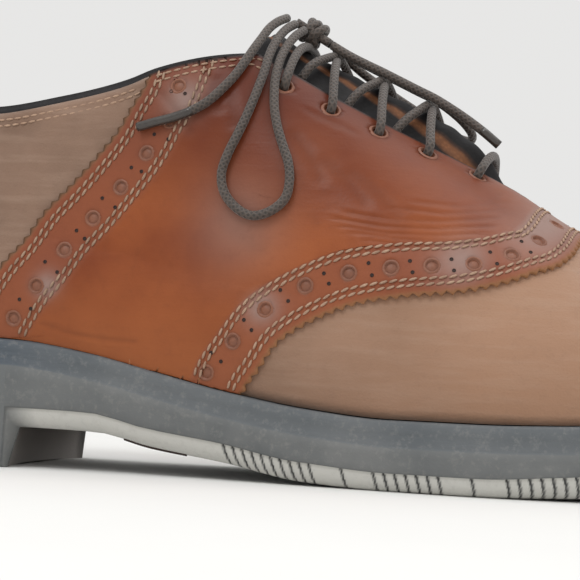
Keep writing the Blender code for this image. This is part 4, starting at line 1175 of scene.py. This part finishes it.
def makeTongue():
    along = np.linspace(tongue["top"], tongue["end"], 120)[:, None]
    across = np.linspace(-1, 1, 81)[None, :]
    across = np.sign(across) * np.abs(across) ** 1.3 * tongue["half"]
    rise = tongueRise(along, across)
    points, normals = crossSpot(along, across, -shoe["wall"], rise - 2 * shoe["gap"])
    ripple = 0.00018 * np.sin(along * 900 + np.abs(across) * 260) * (rise > 0)
    points = points + normals * ripple[..., None]
    aside = np.abs(across)
    roll = tongue["roll"] * np.exp(-(across / tongue["rollReach"]) ** 2)
    roll = roll - tongue["furrow"] * np.exp(-((aside - tongue["furrowAt"]) / tongue["furrowReach"]) ** 2)
    points = points + normals * (roll * (rise > 0))[..., None]
    flank = np.clip((aside - tongue["flankFrom"]) / 0.0006, 0, 1) * np.clip((tongue["flankTo"] - aside) / 0.0008, 0, 1)
    flank = flank * (rise > 0)
    mesh = gridMesh("tongue", points, dict(flank=flank * np.ones(rise.shape)))
    mesh = joinMeshes("tongue", [mesh], 0.0000001, lambda face: face.normal.z)
    piece = addPiece("tongueLeather", mesh, tongueBlack, ["tongue"])
    wall = piece.modifiers.new("thickness", "SOLIDIFY")
    wall.thickness = tongue["wall"] - 0.0002
    wall.offset = -1
    soft = piece.modifiers.new("softEdge", "BEVEL")
    soft.width = 0.0006
    soft.segments = 2
    soft.limit_method = "ANGLE"


makeTongue()
print("tongue is in")

# The lace through the eyelets: share across from its eyelet (1) past the crest (0), lift, lean back.
# over is the share of its width by which the second strand of a pair passes above the first.
lacing = dict(lean=0.006, arch=0.0008, over=0.55)
crossing = np.array(((-0.45, 0.32, 1.40), (-0.22, 0.80, 1.18), (0.00, 1.06, 1.00), (0.28, 0.90, 0.76), (0.55, 0.58, 0.50),
                     (0.80, 0.24, 0.22), (1.00, 0.00, 0.00)))


def standOut(along):
    return max(float(tongueRise(along, 0.0)) - 3 * shoe["gap"] - shoe["wall"] - shoe["saddleWall"], 0.0)


def laceSpot(along, across, lift):
    point, normal = crossSpot(along, across, saddleOut, laceRadius + shoe["gap"] + lift)
    return point


def intoEyelet(row, side):
    spot, normal = crossSpot(eyeletAlong(row), side * eyeletReach(eyeletAlong(row)), saddleOut)
    return [spot + normal * depth for depth in (0.0006, -0.0008, -0.0028)]


def strandPath(row, side):
    along, reach = eyeletAlong(row), eyeletReach(eyeletAlong(row))
    points = []
    for share in np.linspace(-0.45, 0.93, 14):
        lift = smoothCurve(crossing[:, 0], crossing[:, 1], share)
        back = smoothCurve(crossing[:, 0], crossing[:, 2], share) * lacing["lean"]
        points.append(laceSpot(along - back, side * share * reach, lift * (standOut(along - back) + lacing["arch"])))
    under = [laceSpot(along - 0.0091, side * -0.58 * reach, -0.0006),
             laceSpot(along - 0.0098, side * -0.72 * reach, -0.0040)]
    return under[::-1] + points + intoEyelet(row, side)


def barPath(row):
    along, reach = eyeletAlong(row), eyeletReach(eyeletAlong(row))
    top = max(standOut(along), standOut(along - shoe["laceWidth"])) + lacing["arch"]
    points = [laceSpot(along, share * reach, top * math.cos(share * math.pi / 2) ** 0.8)
              for share in np.linspace(-0.93, 0.93, 13)]
    return intoEyelet(row, -1)[::-1] + points + intoEyelet(row, 1)


def makeLacing():
    for row in range(5):
        paths = [barPath(row)] if row in (0, 4) else [strandPath(row, -1), strandPath(row, 1)]
        tubes = []
        for at, points in enumerate(paths):
            path, length = smoothPath(points, 70)
            if at == 1:
                middle = np.exp(-((np.linspace(0, 1, 70) - 0.38) / 0.13) ** 2)
                path = path + np.outer(middle, (0.0, 0.0, shoe["laceWidth"] * lacing["over"]))
            tubes.append(tubeMesh("strand", path, np.full(70, laceRadius)))
        name = "lace_bar_%d" % row if len(paths) == 1 else "lace_cross_%d" % row
        addPiece("laceStrands%d" % row, joinMeshes("strands", tubes, 0.0), waxedLace, [name])


# The knot: three wraps drawn tight round two strands
def makeKnot():
    centre = np.array((-0.0139, -0.0019, 0.1299))
    way = np.array((0.86, 0.02, -0.51))
    side = np.array((0.0, 1.0, 0.0))
    upward = np.cross(way, side)
    turns = np.linspace(0, 2 * math.pi, 33)
    tubes = []
    for shift, tilt, radius in ((-0.0013, 0.35, 0.0029), (0.0013, 0.35, 0.0029), (0.0, -0.8, 0.0027)):
        ring = [centre + way * (shift + math.sin(turn) * tilt * radius) + side * math.cos(turn) * radius * 1.15
                + upward * math.sin(turn) * radius for turn in turns]
        tubes.append(tubeMesh("wrap", ring, np.full(33, laceRadius * 0.98), 12))
    for y, z in ((-0.0016, 0.0), (0.0016, 0.0)):
        line = [centre + way * t + side * (y - 0.0022 * (t < 0) * abs(t) / 0.005) + upward * z
                for t in np.linspace(-0.0052, 0.0058, 12)]
        tubes.append(tubeMesh("core", line, np.full(12, laceRadius), 12))
    addPiece("laceKnot", joinMeshes("laceKnot", tubes, 0.0), waxedLace, ["lace_knot"])


makeLacing()
makeKnot()
print("shoe is laced")

# The sole
soleTicks = dict(runs=((0.1267, 0.00279, 10), (0.1611, 0.003, 1), (0.1701, 0.003, 7), (0.1971, 0.003, 1),
                       (0.2064, 0.003, 10), (0.2424, 0.003, 1), (0.2514, 0.003, 7)), width=0.00030, depth=0.0007,
                 slant=0.30)
tickPlaces = [start + step * pitch for start, pitch, count in soleTicks["runs"] for step in range(count)]


def soleBottom(along):
    place = along / shoe["length"]
    arch = section("arch", place) * shoe["waist"]
    spring = section("spring", place) * shoe["toeSpring"]
    heel = along <= shoe["heelLength"]
    return np.where(heel, 0.0, arch + spring)


def edgeShare(along):
    return np.where(along <= shoe["heelLength"], 0.3, section("edge", along / shoe["length"]))


def soleStations(step):
    fine = np.arange(0.124, 0.272, step)
    heel = shoe["heelLength"]
    rear = 0.5 - 0.5 * np.cos(np.linspace(0, math.pi, 60))
    rear = rear[rear < 0.5] * 0.124 * 2
    front = 0.272 + (shoe["length"] - 0.272) * np.sin(np.linspace(0, math.pi / 2, 40))
    places = np.concatenate([rear, [heel - 0.0002, heel + 0.0001, heel + 0.002, heel + 0.005], fine, front])
    return np.unique(np.clip(places, 0, shoe["length"]))


def solePoint(along, inset, side):
    length = shoe["length"]
    scaled = inset + along / length * (length - 2 * inset)
    return scaled, centreY(scaled) + side * halfWidth(scaled, inset)


def soleWall():
    near = soleStations(0.00045)
    loopAlong = np.concatenate([near, near[::-1]])
    loopSide = np.concatenate([-np.ones(len(near)), np.ones(len(near))])
    tucks = [(math.sin(turn), 1 - math.cos(turn)) for turn in np.linspace(0, math.pi / 2, 10)]
    columns, masks = [], dict(topBand=[], underEdge=[], grooveAndShade=[], breast=[])
    zero = np.zeros(len(loopAlong))
    top, bottom, share = soleTop(loopAlong), soleBottom(loopAlong), edgeShare(loopAlong)
    mould = bottom + shoe["edgeHeight"] * share
    bandZ = top - shoe["bandHeight"]
    bandFade = np.clip((0.085 - loopAlong) / 0.03, 0, 1) * 0.6 + 0.4
    profile = []
    for sine, rise in tucks:
        profile.append((shoe["edgeTuck"] * share * (1 - sine) + shoe["mouldStep"],
                        bottom + shoe["edgeHeight"] * share * rise, 0.0, np.clip((loopAlong - 0.06) / 0.01, 0.0, 1), sine))
    for inset, z, band in ((shoe["mouldStep"] * 0.3, mould + 0.0001, 0), (0.0, mould + 0.0006, 0),
                           (0.0, mould * 0.66 + bandZ * 0.34, 0), (0.0, mould * 0.33 + bandZ * 0.67, 0),
                           (0.0, bandZ - 0.0004, 0), (0.0004, bandZ, 1), (shoe["bandStep"], bandZ + 0.0003, 1),
                           (shoe["bandStep"], bandZ * 0.5 + top * 0.5, 1), (shoe["bandStep"], top - 0.0007, 1),
                           (shoe["bandStep"] + 0.0006, top, 1), (0.004, top, 1), (0.009, top, 1)):
        profile.append((inset + zero, z, band * bandFade, zero, 1.0))
    for inset, z, band, under, sine in profile:
        # Grooves cut into the edge; the same mask paints shade into them
        grooveAndShade = np.zeros(len(loopAlong))
        if under.any():
            for place in tickPlaces:
                lean = place + soleTicks["slant"] * (mould - z)
                grooveAndShade = np.maximum(grooveAndShade, np.clip(1.3 - np.abs(loopAlong - lean) / soleTicks["width"], 0, 1))
        inset = inset + grooveAndShade * soleTicks["depth"]
        along, y = solePoint(loopAlong, inset, loopSide)
        columns.append(np.stack([along - shoe["length"] / 2, y, z + zero], axis=1))
        masks["topBand"].append(band + zero)
        masks["underEdge"].append(under * (1 - grooveAndShade))
        masks["grooveAndShade"].append(grooveAndShade)
        masks["breast"].append(zero)
    points = np.stack(columns, axis=1)
    return gridMesh("wall", points, {key: np.stack(value, axis=1) for key, value in masks.items()})


def soleTread():
    near = soleStations(0.00045)
    across = np.linspace(-1, 1, 15)
    inset = shoe["edgeTuck"] * edgeShare(near) + shoe["mouldStep"]
    along, half = solePoint(near, inset, 1.0)
    half = half - centreY(along)
    grooveAndShade = np.zeros(len(near))
    for place in tickPlaces:
        lean = place + soleTicks["slant"] * shoe["edgeHeight"]
        grooveAndShade = np.maximum(grooveAndShade, np.clip(1.3 - np.abs(near - lean) / soleTicks["width"], 0, 1))
    hollow = np.exp(-((near - shoe["heelLength"]) / 0.0012) ** 2) * 0.005
    x = along[:, None] - shoe["length"] / 2 - hollow[:, None] * (1 - across[None, :] ** 2)
    y = centreY(along)[:, None] + half[:, None] * across[None, :]
    z = (soleBottom(near) + grooveAndShade * soleTicks["depth"])[:, None] + 0 * across[None, :]
    flat = np.zeros(x.shape)
    # Painted light: the heel breast's colour is lifted where it lies in shadow
    breast = np.exp(-((near - shoe["heelLength"] - 0.0015) / 0.0025) ** 2)[:, None] + flat
    masks = dict(topBand=flat, underEdge=(0.35 + flat) * (1 - breast), grooveAndShade=grooveAndShade[:, None] + flat,
                 breast=np.clip(breast, 0, 1))
    return gridMesh("tread", np.stack([x, y, z], axis=-1), masks)


def makeSole():
    def outward(face):
        centre = face.calc_center_median()
        along = centre.x + shoe["length"] / 2
        middle = Vector((centre.x * 0.96, float(centreY(min(max(along, 0.01), 0.29))), 0.0))
        middle.z = float(soleBottom(np.array(along)) + soleTop(np.array(along))) / 2
        return face.normal.dot(centre - middle)

    mesh = joinMeshes("rubberSole", [soleWall(), soleTread()], 0.00003, outward)
    addPiece("rubberSole", mesh, soleRubber, ["outsole"])


# A thin dark tube along the sole's lower edge under the arch, seen as a dark line
def makeArchDarkLine():
    along = np.linspace(0.0950, 0.1145, 24)
    archLineTubes = []
    for side in (-1.0, 1.0):
        tuck = edgeShare(along)
        ahead, y = solePoint(along, shoe["edgeTuck"] * tuck * 0.7 + shoe["mouldStep"], np.full(24, side))
        path = np.stack([ahead - shoe["length"] / 2, y, soleBottom(along) + shoe["edgeHeight"] * tuck * 0.04], axis=1)
        archLineTubes.append(tubeMesh("archLineTube", path, np.full(24, 0.0004), 8))
    addPiece("archDarkLine", joinMeshes("archDarkLine", archLineTubes, 0.0), pinDark)


makeSole()
makeArchDarkLine()
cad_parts["insole"].data.materials.clear()
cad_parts["insole"].data.materials.append(sockTan)
print("sole is moulded")


# Floor, lights and the room's soft light
def paperMaterial():
    material, shader, wires = startMaterial("palePaper", 0.9)
    spot = wires.coords()
    wear = useGroup(wires, wearGroup, spot, 14.0)
    colour = wires.mix(wires.math("MULTIPLY", wear.outputs["Broad"], 0.25), (0.80, 0.80, 0.785), (0.76, 0.76, 0.745))
    wires.link(colour, shader.inputs["Base Color"])
    return material


def makeStage():
    shape = bmesh.new()
    bmesh.ops.create_grid(shape, x_segments=2, y_segments=2, size=3.0)
    mesh = bpy.data.meshes.new("floor")
    shape.to_mesh(mesh)
    shape.free()
    mesh.materials.append(paperMaterial())
    floor = bpy.data.objects.new("floor", mesh)
    bpy.context.scene.collection.objects.link(floor)
    world = bpy.data.worlds.new("softRoom")
    world.use_nodes = True
    background = world.node_tree.nodes["Background"]
    background.inputs["Color"].default_value = (1.0, 0.995, 0.985, 1.0)
    background.inputs["Strength"].default_value = 0.80
    bpy.context.scene.world = world
    for name, spot, aim, size, power in (("windowLight", (-0.30, -0.75, 1.15), (0, 0, 0.06), 0.55, 5.5),
                                         ("topLight", (0.30, 0.10, 1.2), (0, 0, 0.05), 0.8, 4.0),
                                         ("fillLight", (0.9, -0.9, 0.5), (0, 0, 0.05), 0.6, 0.8)):
        lamp = bpy.data.lights.new(name, "AREA")
        lamp.size = size
        lamp.energy = power
        light = bpy.data.objects.new(name, lamp)
        light.location = spot
        light.rotation_euler = (Vector(aim) - Vector(spot)).to_track_quat("-Z", "Y").to_euler()
        bpy.context.scene.collection.objects.link(light)


makeStage()
bpy.context.scene.view_settings.view_transform = "Standard"
print("stage is set")
